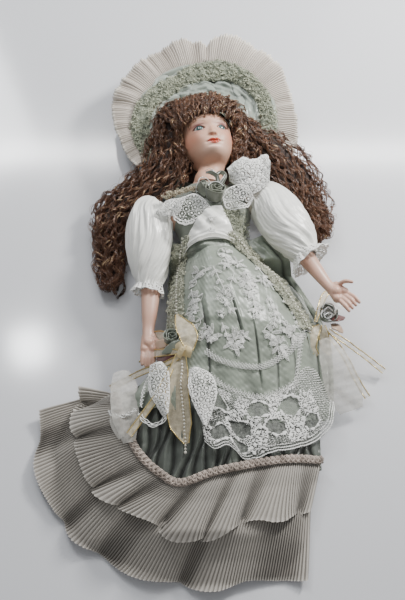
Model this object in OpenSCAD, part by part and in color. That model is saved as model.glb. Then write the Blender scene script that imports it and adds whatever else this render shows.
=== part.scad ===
// Dressed porcelain doll lying on its back: bisque head, shoulder plate, forearms and
// lower legs on a stuffed cloth body, with a wig, a picture hat and a tiered gown.
// X runs to the doll's left, Y towards the head and Z out of the chest.
// The origin is on the flat back panel of the skirt, in the surface that the doll lies on.

/* [Head] */
// Distance from the skirt's resting point to the middle of the head
head_y = 137; // [135:1:139]
// Height of the neck and head swivel axis above the surface
neck_z = 42; // [41:0.5:43]
// Turn of the head towards the doll's left
head_turn = 12; // [8:1:14]
// Wall of the porcelain castings
porcelain_wall = 3; // [2.5:0.1:3.2]

/* [Hat] */
// Radius of the brim out to the pleated frill
brim_r = 68; // [66:1:69]
// Radius of the pleated frill
frill_r = 91; // [89:1:92]
// Height of the underside of the brim
brim_z = 30; // [29:0.5:31]
// Radius of the crown
crown_r = 42; // [41:0.5:43]

/* [Limbs] */
// Radius of the cloth upper arm
upper_arm_r = 7; // [6:0.5:7.5]
// Radius of the cloth thigh
thigh_r = 11; // [10:0.5:12]

/* [Gown] */
// Vertical pitch from one layer of cloth to the next
layer_pitch = 2; // [1.9:0.05:2.1]
// Thickness of each layer of cloth
cloth_t = 1.5; // [1.2:0.1:1.6]

/* [Hidden] */
gap = 0.4;
neck_x = 5;
bolt_r = 2;
bolt_clearance = 0.06;
cuff_t = 1.5;
neck_seat_y = 96;
plate_edge_y = 65;
washer_t = 1.2;
washer_y = 86.8;
nut_y = washer_y - 3;
bolt_head_y = 102.05;
right_shoulder = [-34, 72, 34];
left_shoulder = [45, 80, 37];
right_elbow = [-46, 4, 30];
left_elbow = [88, 29, 39];
right_hip = [-10, -40, 19];
left_hip = [26, -40, 19];
right_knee = [-9, -118, 15];
left_knee = [28, -118, 15];
right_ankle = [-8, -186, 12];
left_ankle = [29, -186, 12];
brim_centre = [3, 177];
crown_centre = [4, 145];
nape_cut_y = 121;
crown_wall = 2.5;
brim_t = 2;

// ---------- shared shapes ----------

function mix(a, b, t) = a + (b - a) * t;

// A smooth curve through a few hand-set points, u from 0 to 1.
function spline(p, u) =
    let (n = len(p) - 1, s = min(u * n, n - 0.0001), i = floor(s), t = s - i,
         a = p[max(i - 1, 0)], b = p[i], c = p[i + 1], d = p[min(i + 2, n)])
    0.5 * (2 * b + (c - a) * t + (2 * a - 5 * b + 4 * c - d) * t * t + (3 * b - a - 3 * c + d) * t * t * t);

// Height of the gown's outer face: the ridge over the body, and the spread to each side.
ridge = [[-275, 12], [-262, 13], [-244, 22], [-226, 34], [-190, 40], [-150, 47], [-100, 57], [-50, 66],
    [0, 65], [26, 58]];
spread_left = [[-262, -62], [-230, -118], [-200, -136], [-150, -142], [-114, -122], [-92, -72], [-76, -50],
    [-20, -40], [26, -27]];
spread_right = [[-262, 95], [-150, 108], [-110, 114], [-50, 118], [0, 94], [26, 56]];
ridge_x = 11;
flat_z = 12;
function bell(x, y) =
    let (edge = x < ridge_x ? lookup(y, spread_left) : lookup(y, spread_right),
         s = min(abs((x - ridge_x) / (edge - ridge_x)), 1))
    lookup(y, ridge) * pow(1 - s * s, 0.85);
function outer_face(x, y) = max(bell(x, y), flat_z);

// One layer of cloth through two or more edge curves, laid over the body; layer 0 is the outermost.
module layer(edges, level, nu = 18, nv = 7, t = cloth_t) {
    grid = [for (i = [0:nu]) for (j = [0:nv])
        let (p = spline([for (e = edges) spline(e, i / nu)], j / nv))
        [p[0], p[1], outer_face(p[0], p[1]) - level * layer_pitch]];
    under = [for (p = grid) [p[0], p[1], p[2] - t]];
    m = len(grid);
    function at(i, j) = i * (nv + 1) + j;
    polyhedron(points = concat(grid, under), faces = concat(
        [for (i = [0:nu - 1]) for (j = [0:nv - 1]) [at(i, j), at(i + 1, j + 1), at(i + 1, j)]],
        [for (i = [0:nu - 1]) for (j = [0:nv - 1]) [at(i, j), at(i, j + 1), at(i + 1, j + 1)]],
        [for (i = [0:nu - 1]) for (j = [0:nv - 1]) [m + at(i, j), m + at(i + 1, j), m + at(i + 1, j + 1)]],
        [for (i = [0:nu - 1]) for (j = [0:nv - 1]) [m + at(i, j), m + at(i + 1, j + 1), m + at(i, j + 1)]],
        [for (i = [0:nu - 1]) [at(i, 0), at(i + 1, 0), m + at(i + 1, 0), m + at(i, 0)]],
        [for (i = [0:nu - 1]) [at(i, nv), m + at(i, nv), m + at(i + 1, nv), at(i + 1, nv)]],
        [for (j = [0:nv - 1]) [at(0, j), m + at(0, j), m + at(0, j + 1), at(0, j + 1)]],
        [for (j = [0:nv - 1]) [at(nu, j), at(nu, j + 1), m + at(nu, j + 1), m + at(nu, j)]]));
}

// A rounded bar from one point to another.
module bar(a, b, ra, rb, fn = 20) {
    hull() {
        translate(a) sphere(r = ra, $fn = fn);
        translate(b) sphere(r = rb, $fn = fn);
    }
}

// Turns +Z to point from a to b, at a.
module along(a, b) {
    d = b - a;
    translate(a) rotate([0, acos(d[2] / norm(d)), atan2(d[1], d[0])]) children();
}

module ellipsoid(c, size, fn = 28) {
    translate(c) resize(2 * size) sphere(r = 10, $fn = fn);
}

// ---------- head ----------

// The head's own frame: origin at the middle of the head, face towards +Z, crown towards +Y.
module head_frame() {
    translate([neck_x, 0, neck_z]) rotate([0, head_turn, 0]) translate([0, head_y, 3]) children();
}

module head_form(inset) {
    hull() {
        ellipsoid([0, 7, -3], [23.5, 25, 27] - inset * [1, 1, 1]);
        ellipsoid([0, -10, 8], [19, 16, 19] - inset * [1, 1, 1], 20);
        translate([0, -25, 15]) sphere(r = 9 - inset, $fn = 20);
    }
}

eye_x = 10.6;
eye_y = 2;
eye_z = 21;
eye_r = 5;
neck_floor = 17;

module nose() {
    hull() {
        translate([0, -1, 25]) sphere(r = 2, $fn = 14);
        translate([0, -10.5, 30]) sphere(r = 2.8, $fn = 14);
        translate([0, -11.5, 25]) sphere(r = 4, $fn = 14);
    }
}

module head() {
    color("#e3b9a4") head_frame() difference() {
        union() {
            head_form(0);
            nose();
            // Neck, with a flat end that turns on the shoulder plate.
            translate([0, -20, -3]) rotate([90, 0, 0]) cylinder(h = 18, r1 = 14.5, r2 = 13, $fn = 48);
        }
        head_form(porcelain_wall);
        translate([0, -18, -3]) rotate([90, 0, 0]) cylinder(h = neck_floor, r = 10, $fn = 48);
        translate([0, -30, -3]) rotate([90, 0, 0])
            cylinder(h = 15, r = bolt_r + bolt_clearance, $fn = 32);
        for (side = [-1, 1]) translate([side * eye_x, eye_y, eye_z]) sphere(r = eye_r + 0.2, $fn = 24);
    }
}

module eye(side) {
    color("#5f8f92") head_frame() translate([side * eye_x, eye_y, eye_z]) sphere(r = eye_r, $fn = 24);
}

module plate_form(grow) {
    hull() {
        ellipsoid([neck_x, 82, 35], [30, 12, 17] + grow * [1, 1, 1], 24);
        ellipsoid([neck_x, 70, 36], [26, 14, 16] + grow * [1, 1, 1], 24);
    }
}
module shoulder_plate() {
    color("#e3b9a4") difference() {
        union() {
            // Stand of the neck, with the seat for the head.
            translate([neck_x, neck_seat_y + 2.6, neck_z]) rotate([90, 0, 0])
                cylinder(h = 12, r1 = 15, r2 = 20, $fn = 48);
            plate_form(0);
        }
        hull() {
            ellipsoid([neck_x, 80, 35], [30, 12, 17] - porcelain_wall * [1, 1, 1], 24);
            ellipsoid([neck_x, 60, 36], [26, 20, 16] - porcelain_wall * [1, 1, 1], 24);
        }
        translate([neck_x - 60, 40, 0]) cube([120, plate_edge_y - 40, 80]);
        translate([neck_x, washer_y + washer_t, neck_z]) rotate([90, 0, 0]) cylinder(h = 12, r = 7, $fn = 32);
        translate([neck_x, neck_seat_y + 20, neck_z]) rotate([90, 0, 0])
            cylinder(h = 40, r = bolt_r + 0.02, $fn = 32);
        for (s = [right_shoulder, left_shoulder]) translate(s) sphere(r = 10.5, $fn = 24);
    }
}

// Neck fastening: a headed bolt inside the neck, with a washer and a nut under the plate.
module neck_bolt() {
    shank = bolt_head_y - nut_y + 1;
    color("silver") translate([neck_x, bolt_head_y, neck_z]) {
        rotate([90, 0, 0]) cylinder(h = shank, r = bolt_r, $fn = 32);
        rotate([-90, 0, 0]) cylinder(h = 2.5, r = 4.5, $fn = 32);
    }
}
module neck_nut() {
    color("silver") translate([neck_x, nut_y, neck_z]) rotate([-90, 0, 0]) difference() {
        cylinder(h = washer_y - nut_y, r = 4.2, $fn = 6);
        translate([0, 0, -1]) cylinder(h = 5, r = bolt_r + 0.02, $fn = 32);
    }
}
module neck_washer() {
    color("gray") translate([neck_x, washer_y, neck_z]) rotate([-90, 0, 0]) difference() {
        cylinder(h = washer_t, r = 5.5, $fn = 32);
        translate([0, 0, -1]) cylinder(h = washer_t + 2, r = bolt_r + 0.1, $fn = 32);
    }
}

// ---------- wig ----------

hair = "#5d3a25";
module wig_cap() {
    color(hair) head_frame() difference() {
        hull() {
            ellipsoid([0, 9, -5], [30, 28.5, 28], 26);
            ellipsoid([0, -8, -10], [27, 20, 20], 22);
        }
        head_form(-gap);
        translate([-19, -40, 4]) cube([38, 50, 50]);
        translate([-16, -60, -20]) cube([32, 44, 60]);
    }
}
module fringe() {
    color(hair) head_frame() difference() {
        intersection() {
            ellipsoid([0, 8, 0], [27, 26, 29], 26);
            translate([-18.6, 10.5, 4]) cube([37.2, 30, 40]);
        }
        head_form(-gap);
        hull() {
            ellipsoid([0, 9, -5], [30 + gap, 28.5 + gap, 28 + gap], 26);
            ellipsoid([0, -8, -10], [27, 20, 20], 22);
        }
    }
}
module side_curls(points, radii) {
    color(hair) hull() for (i = [0:len(points) - 1]) translate(points[i]) sphere(r = radii[i], $fn = 18);
}
module right_side_curls() side_curls([[-34, 142, 45.5], [-47, 120, 46.5]], [9, 10]);
module left_side_curls() side_curls([[42.5, 141, 44], [61, 127, 45]], [8, 10]);
module right_long_curls() {
    color(hair) {
        hull() { bar([-82, 92, 16], [-92, 62, 13.5], 16, 13.5, 18); }
        hull() { bar([-92, 62, 13.5], [-84, 2, 7], 13.3, 7, 18); }
    }
}
module left_long_curls() {
    color(hair) {
        hull() { bar([94, 104, 17], [104, 80, 14], 17, 14, 18); }
        hull() { bar([104, 80, 14], [104, 56, 10], 13.8, 10, 18); }
    }
}

// ---------- hat ----------

// A flat ring of the brim, open at the nape and round the head.
module ring(ri, ro, z, h) {
    difference() {
        translate([brim_centre[0], brim_centre[1], z]) cylinder(h = h, r = ro, $fn = 96);
        if (ri > 0) translate([brim_centre[0], brim_centre[1], z - 1]) cylinder(h = h + 2, r = ri, $fn = 96);
        translate([crown_centre[0], crown_centre[1], z - 1])
            cylinder(h = h + 2, r = crown_r - crown_wall, $fn = 72);
        translate([-120, nape_cut_y - 100, z - 1]) cube([240, 100, h + 2]);
    }
}
// A cup whose underside is round about the neck's axis, so that it clears the surface as the head turns.
module crown_form(inset, top) {
    intersection() {
        translate([crown_centre[0], crown_centre[1], -1])
            cylinder(h = top + 1, r = crown_r - inset, $fn = 72);
        translate([neck_x, crown_centre[1] - 60, neck_z]) rotate([-90, 0, 0])
            cylinder(h = 120, r = neck_z - inset, $fn = 96);
    }
}
module hat_crown() {
    color("#6f7d6d") difference() {
        crown_form(0, brim_z);
        crown_form(crown_wall, brim_z + 5);
        // Notch for the neck.
        translate([neck_x, 90, neck_z]) rotate([-90, 0, 0]) cylinder(h = 30, r = 17, $fn = 48);
    }
}
module hat_brim() { color("#8a9a88") ring(0, brim_r, brim_z, brim_t); }
module hat_braid() { color("#9fae90") ring(brim_r - 17, brim_r - 1, brim_z + brim_t, 2.4); }
module hat_frill() { color("#e9e0d2") ring(brim_r + gap, frill_r, brim_z - 1, 4); }

// ---------- body ----------

module torso_form(grow) {
    hull() {
        ellipsoid([neck_x + 1, 66, 33], [25, 20, 18] + grow * [1, 1, 1], 22);
        ellipsoid([neck_x + 2, 31, 30], [16, 12, 14] + grow * [1, 1, 1], 22);
    }
    hull() {
        ellipsoid([neck_x + 2, 31, 30], [16, 12, 14] + grow * [1, 1, 1], 22);
        ellipsoid([neck_x + 4, -16, 25], [20, 18, 13] + grow * [1, 1, 1], 22);
    }
}
module torso() {
    color("#efe9dc") difference() {
        torso_form(0);
        // Room under the shoulder plate for the nut and for the plate itself.
        translate([neck_x - 60, 64.5, 0]) cube([120, 60, 80]);
        for (s = [right_shoulder, left_shoulder]) translate(s) sphere(r = 9.8, $fn = 24);
        for (s = [right_hip, left_hip]) translate(s) sphere(r = thigh_r + gap, $fn = 24);
    }
}
module upper_arm(shoulder, elbow) {
    color("#efe9dc") {
        hull() {
            translate(shoulder) sphere(r = 9, $fn = 22);
            translate(mix(shoulder, elbow, 0.3)) sphere(r = upper_arm_r, $fn = 20);
            translate(mix(shoulder, elbow, 0.92)) sphere(r = 3.6, $fn = 20);
        }
        translate(elbow) sphere(r = 5, $fn = 22);
    }
}

// A porcelain forearm: a cup over the cloth arm's rounded end, the arm, and a hand with five digits.
module forearm(elbow, wrist, palm, digits) {
    mouth = elbow + 14 * (elbow - wrist) / norm(elbow - wrist);
    color("#dcae98") difference() {
        union() {
            hull() {
                translate(elbow) sphere(r = 8, $fn = 22);
                translate(mix(elbow, wrist, 0.45)) sphere(r = 7, $fn = 18);
            }
            bar(mix(elbow, wrist, 0.45), wrist, 7, 4.8, 18);
            hull() {
                translate(wrist) sphere(r = 4.6, $fn = 16);
                for (p = palm) translate(p) sphere(r = 3.4, $fn = 14);
            }
            for (d = digits) bar(d[0], d[1], 2.3, 1.6, 12);
        }
        translate(elbow) sphere(r = 5.4, $fn = 22);
        along(elbow, mouth) cylinder(h = 14, r1 = 5, r2 = 13, $fn = 32);
    }
}
right_wrist = [-47, -44, 29];
left_wrist = [109, -6, 42];
right_palm = [[-50, -58, 29], [-41, -58, 29]];
left_palm = [[114, -19, 42], [121, -12, 42]];
right_digits = [for (k = [0:3]) [[-50 + 3 * k, -60, 29], [-50.5 + 3.4 * k, -78 - 2 * sin(60 * k), 32]],
    [[-41, -53, 30], [-36.5, -64, 36]]];
left_digits = [for (k = [0:3]) [[114 + 2.4 * k, -20 + 2.4 * k, 42], [126 + 3.4 * k, -34 + 2.8 * k, 43]],
    [[119, -9, 44], [129, -8, 50]]];

module thigh(hip, knee) {
    color("#efe9dc") hull() {
        translate(hip) sphere(r = thigh_r, $fn = 22);
        translate(mix(hip, knee, 0.93)) sphere(r = 8, $fn = 20);
    }
}
module lower_leg(knee, ankle) {
    color("#dcae98") difference() {
        hull() {
            translate(knee) sphere(r = 10.4, $fn = 22);
            translate(mix(knee, ankle, 0.35)) sphere(r = 9.5, $fn = 20);
            translate(ankle) sphere(r = 6, $fn = 18);
        }
        // Hollow top that the stuffed thigh is tied into.
        translate(knee + [0, 6, 0]) sphere(r = 8.6, $fn = 22);
        translate([knee[0] - 20, knee[1] + 5, -10]) cube([40, 30, 50]);
    }
}
module shoe(ankle, side) {
    toe = ankle + [side * 7, -27, 0.5];
    color("#f4f1ea") difference() {
        hull() {
            translate(ankle + [0, -5, -2]) sphere(r = 8, $fn = 20);
            translate(toe) sphere(r = 5, $fn = 18);
        }
        hull() {
            translate(ankle + [0, 25, 1]) sphere(r = 7.5, $fn = 18);
            translate(ankle) sphere(r = 6 + gap, $fn = 18);
        }
    }
}

// ---------- gown ----------

module bodice() {
    color("#7d8c79") difference() {
        torso_form(3.6);
        torso_form(gap);
        translate([-60, 64, 0]) cube([120, 60, 80]);
        translate([-60, -70, 0]) cube([120, 96.2, 80]);
        for (s = [right_shoulder, left_shoulder]) translate(s) sphere(r = 12, $fn = 24);
    }
}
module bodice_snaps() {
    color("silver") for (k = [0:2]) translate([neck_x + 1, 40 + 9 * k, 10.75 - 0.27 * k])
        cylinder(h = 1.2, r = 2.2, $fn = 24);
}
module waist_sash() {
    color("#ebe9e2") difference() {
        torso_form(5.6);
        torso_form(4);
        translate([-60, 39, 0]) cube([120, 100, 90]);
        translate([-60, -70, 0]) cube([120, 97, 90]);
        translate([-60, 0, 0]) cube([120, 100, 14]);
    }
}
// Lace collar that lies over the plate and the tops of the sleeves.
module lace_collar() {
    color("#e8e6dd") difference() {
        plate_form(3);
        plate_form(1.2);
        translate([neck_x, 110, neck_z]) rotate([90, 0, 0]) cylinder(h = 40, r = 21, $fn = 48);
        translate([-60, 30, 0]) cube([120, 36, 90]);
        translate([-60, 30, 0]) cube([120, 100, 36]);
        for (s = [right_shoulder, left_shoulder]) translate(s) sphere(r = 20.5, $fn = 24);
    }
}
// The left half of the collar, which stands up beside the neck.
module standing_collar() {
    color("#eeebdf") hull() {
        translate([30, 86, 56]) sphere(r = 3, $fn = 18);
        translate([28, 99, 55]) sphere(r = 3, $fn = 18);
        translate([57, 112, 62]) sphere(r = 3.5, $fn = 18);
        translate([48, 97, 61]) sphere(r = 3.5, $fn = 18);
    }
}
module neck_rose() {
    color("#75836e") translate([neck_x + 6, 77, 55.2]) {
        cylinder(h = 8, r1 = 6, r2 = 8.5, $fn = 36);
        translate([0, 0, 8]) cylinder(h = 2, r1 = 8, r2 = 5, $fn = 36);
    }
}

module sleeve(points, radii, shoulder, elbow) {
    far = mix(shoulder, elbow, 1.3);
    color("#f1efe4") difference() {
        hull() for (i = [0:len(points) - 1]) translate(points[i]) sphere(r = radii[i], $fn = 24);
        hull() {
            translate(mix(shoulder, elbow, -0.5)) sphere(r = 9.6, $fn = 20);
            translate(far) sphere(r = 11.5, $fn = 20);
        }
        along(mix(shoulder, elbow, 0.93), far) cylinder(h = 60, r = 30, $fn = 32);
    }
}
right_puff = [[-50, 58, 35], [-48, 32, 33.5], [-46, 9, 30.5]];
left_puff = [[62, 74, 39.5], [73, 54, 38.5], [83.5, 36, 38.5]];
right_puff_r = [19, 22, 14.5];
left_puff_r = [19, 22.5, 16.5];

module cuff(shoulder, elbow, h, r1, r2, start) {
    tip = mix(shoulder, elbow, 1.5);
    flare = (r2 - r1) / h;
    along(mix(shoulder, elbow, start), tip) difference() {
        cylinder(h = h, r1 = r1, r2 = r2, $fn = 40);
        translate([0, 0, -1])
            cylinder(h = h + 2, r1 = r1 - cuff_t - flare, r2 = r2 - cuff_t + flare, $fn = 40);
    }
}
module cuff_band(shoulder, elbow) { color("#d9cfb8") cuff(shoulder, elbow, 5, 13.2, 13.2, 0.94); }
module cuff_lace(shoulder, elbow) { color("#efece0") cuff(shoulder, elbow, 12, 13.4, 20, 1.02); }

// ---------- skirts ----------

// Edge curves, each from the doll's left, across the front, to its right.
waist_edge = [[33, 25.5], [22, 25], [6, 24.5], [-10, 25], [-18, 25.5]];
thigh_edge = [[106, -58], [64, -66], [20, -70], [-16, -68], [-40, -64]];
underskirt_hem = [[90, -196], [50, -212], [0, -216], [-50, -204], [-96, -172]];
frill_top = [[100, -158], [71, -164], [33, -174], [8, -180], [-18, -188], [-34, -180], [-50, -165],
    [-60, -148], [-70, -122], [-76, -98]];
upper_hem = [[92, -199], [64, -214], [42, -215], [11, -230], [-22, -231], [-45, -216], [-86, -192],
    [-101, -160], [-110, -124], [-104, -88]];
petticoat_top = [[90, -190], [60, -205], [30, -208], [0, -212], [-30, -210], [-60, -195], [-86, -170],
    [-94, -146], [-96, -120], [-90, -96]];
petticoat_hem = [[87, -256], [62, -260], [36, -261], [10, -266], [-30, -260], [-60, -252], [-100, -228],
    [-130, -190], [-141, -150], [-138, -108]];
braid_half_w = 3.5;

module skirt_back_panel() {
    color("#6f7d6b") linear_extrude(height = 1.8)
        polygon([[28, 24], [60, -30], [84, -100], [88, -150], [80, -235], [30, -246], [-60, -236],
            [-108, -196], [-112, -140], [-70, -98], [-32, -66], [-16, 24]]);
}
module petticoat_frill() { color("#ddd3c6") layer([petticoat_top, petticoat_hem], 4, 24, 6); }
module underskirt() { color("#66735f") layer([waist_edge, thigh_edge, underskirt_hem], 3, 18, 14); }
module upper_frill() { color("#d3cdc0") layer([frill_top, upper_hem], 2, 24, 5); }
module frill_braid() {
    color("#c2b09c") layer([[for (p = frill_top) p + [0, braid_half_w]],
        [for (p = frill_top) p - [0, braid_half_w]]], 1, 24, 2);
}
module overskirt_front() {
    color("#93a08c") layer([[[29, 25], [18, 24.6], [6, 24.5], [-6, 25], [-12.6, 25.4]],
        [[88, -48], [60, -58], [30, -62], [0, -60], [-21, -52]],
        [[96, -124], [70, -134], [40, -137], [12, -128], [-10, -106]]], 1, 14, 13);
}
module overskirt_left_side() {
    color("#a9ae9c") layer([[[48, 25.5], [30, 25]], [[112, -46], [89.5, -48]], [[112, -121], [97.5, -124]]],
        1, 4, 12);
}
module overskirt_right_side() {
    color("#a9ae9c") layer([[[-13.4, 25.5], [-17.5, 26]], [[-22.5, -52], [-33, -54]],
        [[-22, -128], [-62, -122]]], 1, 4, 12);
}
module side_lace_petals() {
    color("#e9e7dd") layer([[[-30, -62], [-37, -66]], [[-36, -96], [-72, -98]], [[-36, -126], [-78, -128]]],
        -0.8, 6, 7);
}
module right_braid_band() {
    color("#b5bd9b") layer([[[-8, 25], [-17, 25.6]], [[-15, -14], [-26, -14]], [[-17, -56], [-29, -54]]],
        0, 3, 10);
}
module left_braid_band() {
    color("#b5bd9b") layer([[[35.5, 25.4], [24.5, 25]], [[69, -8], [56, -14]], [[96, -44], [83, -52]]],
        0, 3, 10);
}
module lace_flounce() {
    color("#e6e3d8") layer([[[99, -119], [72, -130], [40, -133], [12, -124], [-6, -104]],
        [[108, -131], [92, -157], [54, -164], [20, -160], [2, -148]]], 0, 16, 5);
}

// ---------- trimmings ----------

// A point at a small height over the gown.
function over(x, y, h) = [x, y, outer_face(x, y) + h];

module bow(x, y, loop_ends) {
    c = over(x, y, 6);
    color("#e3cf9a") {
        translate(c) sphere(r = 4, $fn = 20);
        for (l = loop_ends) let (e = over(x + l[0], y + l[1], l[2])) hull() {
            translate(mix(c, e, 3 / norm(e - c))) sphere(r = 1, $fn = 12);
            translate(e) cylinder(h = 2.4, r = 6, center = true, $fn = 20);
        }
    }
}
module satin_rose(x, y) {
    color("#71806d") translate(over(x, y, 4)) {
        cylinder(h = 5, r1 = 6, r2 = 8.4, $fn = 32);
        translate([0, 0, 5]) cylinder(h = 2, r1 = 8.4, r2 = 6, $fn = 32);
    }
}
// A flat ribbon tail from the bow down to the surface.
module tail(width, route) {
    color("#ddd2b4") for (i = [0:len(route) - 2]) hull() for (k = [0, 1]) translate(route[i + k])
        rotate([0, 0, atan2(route[i + 1][1] - route[i][1], route[i + 1][0] - route[i][0])])
            cube([0.8, width, 1], center = true);
}

// Strung beads, as one tube along a route that leaves the bow and lies down the front of the skirt.
string_r = 1.2;
string_sides = 8;
string_route = [[-17, -84, 54.8], [-17, -89, 55], [-17, -94, 55], [-17.5, -99, 54.5], [-18, -104, 53.5],
    [-18, -109, 52.5], [-17.5, -114, 51], [-17, -119, 50], [-16.5, -124, 49], [-16, -129, 48],
    [-15.5, -134, 47], [-15, -139, 46], [-15, -144, 45], [-14.5, -149, 44], [-14, -154, 43],
    [-14, -159, 42], [-14, -163, 41.5]];
module tube(route, r, sides) {
    n = len(route);
    points = [for (i = [0:n - 1])
        let (d = route[min(i + 1, n - 1)] - route[max(i - 1, 0)], t = d / norm(d), a = cross(t, [0, 0, 1]),
             u = a / norm(a), v = cross(u, t))
        for (k = [0:sides - 1]) route[i] + r * (cos(360 * k / sides) * u + sin(360 * k / sides) * v)];
    polyhedron(points = points, faces = concat(
        [[for (k = [sides - 1:-1:0]) k]], [[for (k = [0:sides - 1]) (n - 1) * sides + k]],
        [for (i = [0:n - 2]) for (k = [0:sides - 1])
            [i * sides + k, (i + 1) * sides + (k + 1) % sides, (i + 1) * sides + k]],
        [for (i = [0:n - 2]) for (k = [0:sides - 1])
            [i * sides + k, i * sides + (k + 1) % sides, (i + 1) * sides + (k + 1) % sides]]));
}
module pearl_string() { color("#f0ead2") tube(string_route, string_r, string_sides); }

// ---------- nodes ----------

head();
eye(-1);  // right_eye
eye(1);  // left_eye
shoulder_plate();
neck_bolt();
neck_nut();
neck_washer();
wig_cap();
fringe();
right_side_curls();
left_side_curls();
right_long_curls();
left_long_curls();
hat_crown();
hat_brim();
hat_braid();
hat_frill();
torso();
upper_arm(right_shoulder, right_elbow);  // right_upper_arm
upper_arm(left_shoulder, left_elbow);  // left_upper_arm
forearm(right_elbow, right_wrist, right_palm, right_digits);  // right_forearm
forearm(left_elbow, left_wrist, left_palm, left_digits);  // left_forearm
thigh(right_hip, right_knee);  // right_thigh
thigh(left_hip, left_knee);  // left_thigh
lower_leg(right_knee, right_ankle);  // right_lower_leg
lower_leg(left_knee, left_ankle);  // left_lower_leg
shoe(right_ankle, -1);  // right_shoe
shoe(left_ankle, 1);  // left_shoe
bodice();
bodice_snaps();
waist_sash();
lace_collar();
standing_collar();
neck_rose();
sleeve(right_puff, right_puff_r, right_shoulder, right_elbow);  // right_sleeve
sleeve(left_puff, left_puff_r, left_shoulder, left_elbow);  // left_sleeve
cuff_band(right_shoulder, right_elbow);  // right_cuff_band
cuff_band(left_shoulder, left_elbow);  // left_cuff_band
cuff_lace(right_shoulder, right_elbow);  // right_cuff_lace
cuff_lace(left_shoulder, left_elbow);  // left_cuff_lace
skirt_back_panel();
petticoat_frill();
underskirt();
upper_frill();
frill_braid();
overskirt_front();
overskirt_left_side();
overskirt_right_side();
right_braid_band();
left_braid_band();
lace_flounce();
side_lace_petals();
bow(-16, -80, [[6, 22, 3], [-10, -22, 5], [-2, -26, 5]]);  // right_bow
bow(98, -41, [[-16, -14, 6.4], [6, -18, 5.5]]);  // left_bow
satin_rose(-27, -74);  // right_satin_rose
satin_rose(108, -34);  // left_satin_rose
tail(14, [over(-38, -92, 7.5), over(-52, -99, 8.5), over(-66, -106, 8), over(-82, -111, 6.5),  // right_organza_tail
        over(-96, -116, 4)]);
tail(22, [[109, -58, 32], [124, -80, 12], [139, -100, 1]]);  // left_organza_tail
pearl_string();
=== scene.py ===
"""The looks of a dressed porcelain doll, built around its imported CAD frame."""
import math

import bpy
import numpy as np
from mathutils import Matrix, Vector


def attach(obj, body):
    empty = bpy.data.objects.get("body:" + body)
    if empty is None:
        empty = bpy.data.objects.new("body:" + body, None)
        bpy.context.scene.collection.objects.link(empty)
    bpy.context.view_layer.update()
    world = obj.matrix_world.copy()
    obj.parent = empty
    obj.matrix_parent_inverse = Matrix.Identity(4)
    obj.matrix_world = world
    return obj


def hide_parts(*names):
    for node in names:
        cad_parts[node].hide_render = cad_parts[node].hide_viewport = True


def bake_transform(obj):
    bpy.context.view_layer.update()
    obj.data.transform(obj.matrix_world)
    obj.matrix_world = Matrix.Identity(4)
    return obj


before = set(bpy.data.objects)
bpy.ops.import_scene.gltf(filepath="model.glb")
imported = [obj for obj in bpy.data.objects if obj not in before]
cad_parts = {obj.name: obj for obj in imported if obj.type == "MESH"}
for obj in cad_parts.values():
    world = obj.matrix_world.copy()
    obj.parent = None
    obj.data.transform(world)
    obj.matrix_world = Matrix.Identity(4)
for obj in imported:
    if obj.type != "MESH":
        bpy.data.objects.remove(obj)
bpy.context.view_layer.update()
rng = np.random.default_rng(7)
MM = 0.001
# The range of the random starting angles, in radians.
FULL_TURN = 6.28


# ---------- camera, table and light ----------

# In metres and degrees above the table.
CAMERA_DISTANCE = 1.1
CAMERA_ELEVATION = math.radians(62)


def make_camera():
    data = bpy.data.cameras.new("camera")
    data.lens = 72.6
    data.sensor_width = 36
    camera = bpy.data.objects.new("camera", data)
    camera.location = (0, -CAMERA_DISTANCE * math.cos(CAMERA_ELEVATION),
                       CAMERA_DISTANCE * math.sin(CAMERA_ELEVATION))
    camera.rotation_euler = (math.pi / 2 - CAMERA_ELEVATION, 0, 0)
    bpy.context.collection.objects.link(camera)
    bpy.context.scene.camera = camera


def area_light(name, location, target, size, power, colour):
    data = bpy.data.lights.new(name, "AREA")
    data.shape = "RECTANGLE"
    data.size, data.size_y = size
    data.energy = power
    data.color = colour
    light = bpy.data.objects.new(name, data)
    light.location = location
    light.rotation_euler = (Vector(target) - Vector(location)).to_track_quat("-Z", "Y").to_euler()
    bpy.context.collection.objects.link(light)


def make_room():
    area_light("key_right", (0.58, 0.50, 0.52), (0, 0, 0), (0.16, 0.16), 11.5, (1, 0.99, 0.97))
    area_light("key_left", (-0.45, 0.80, 0.80), (0, 0, 0), (0.25, 0.25), 4.5, (0.96, 0.98, 1))
    area_light("strip_lamp", (0, 1.07, 1.3), (0, 0.9, 0), (1.15, 0.03), 9.0, (1, 1, 1))
    area_light("round_lamp", (-0.36, 0.58, 1.3), (-0.3, 0.3, 0), (0.07, 0.07), 1.6, (0.96, 0.98, 1))
    area_light("ceiling", (0.6, 0.95, 1.3), (0.1, 0.2, 0), (1.0, 1.0), 5, (1, 0.99, 0.97))
    area_light("low_fill", (0.1, -0.75, 1.1), (0, 0.1, 0), (0.8, 0.8), 2.2, (1, 0.98, 0.96))
    world = bpy.data.worlds.new("room")
    bpy.context.scene.world = world
    world.use_nodes = True
    background = world.node_tree.nodes["Background"]
    background.inputs["Color"].default_value = (0.88, 0.91, 0.95, 1)
    background.inputs["Strength"].default_value = 0.2
    half = 6000
    corners = [[-half, -half, 0], [half, -half, 0], [half, half, 0], [-half, half, 0]]
    table = build_mesh("table_top", corners, [[0, 1, 2, 3]])
    table.location.z = -0.0003
    white = Finish("white_laminate", (0.70, 0.71, 0.74), rough=0.11)
    table.data.materials.append(white.material)


# ---------- meshes ----------

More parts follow.
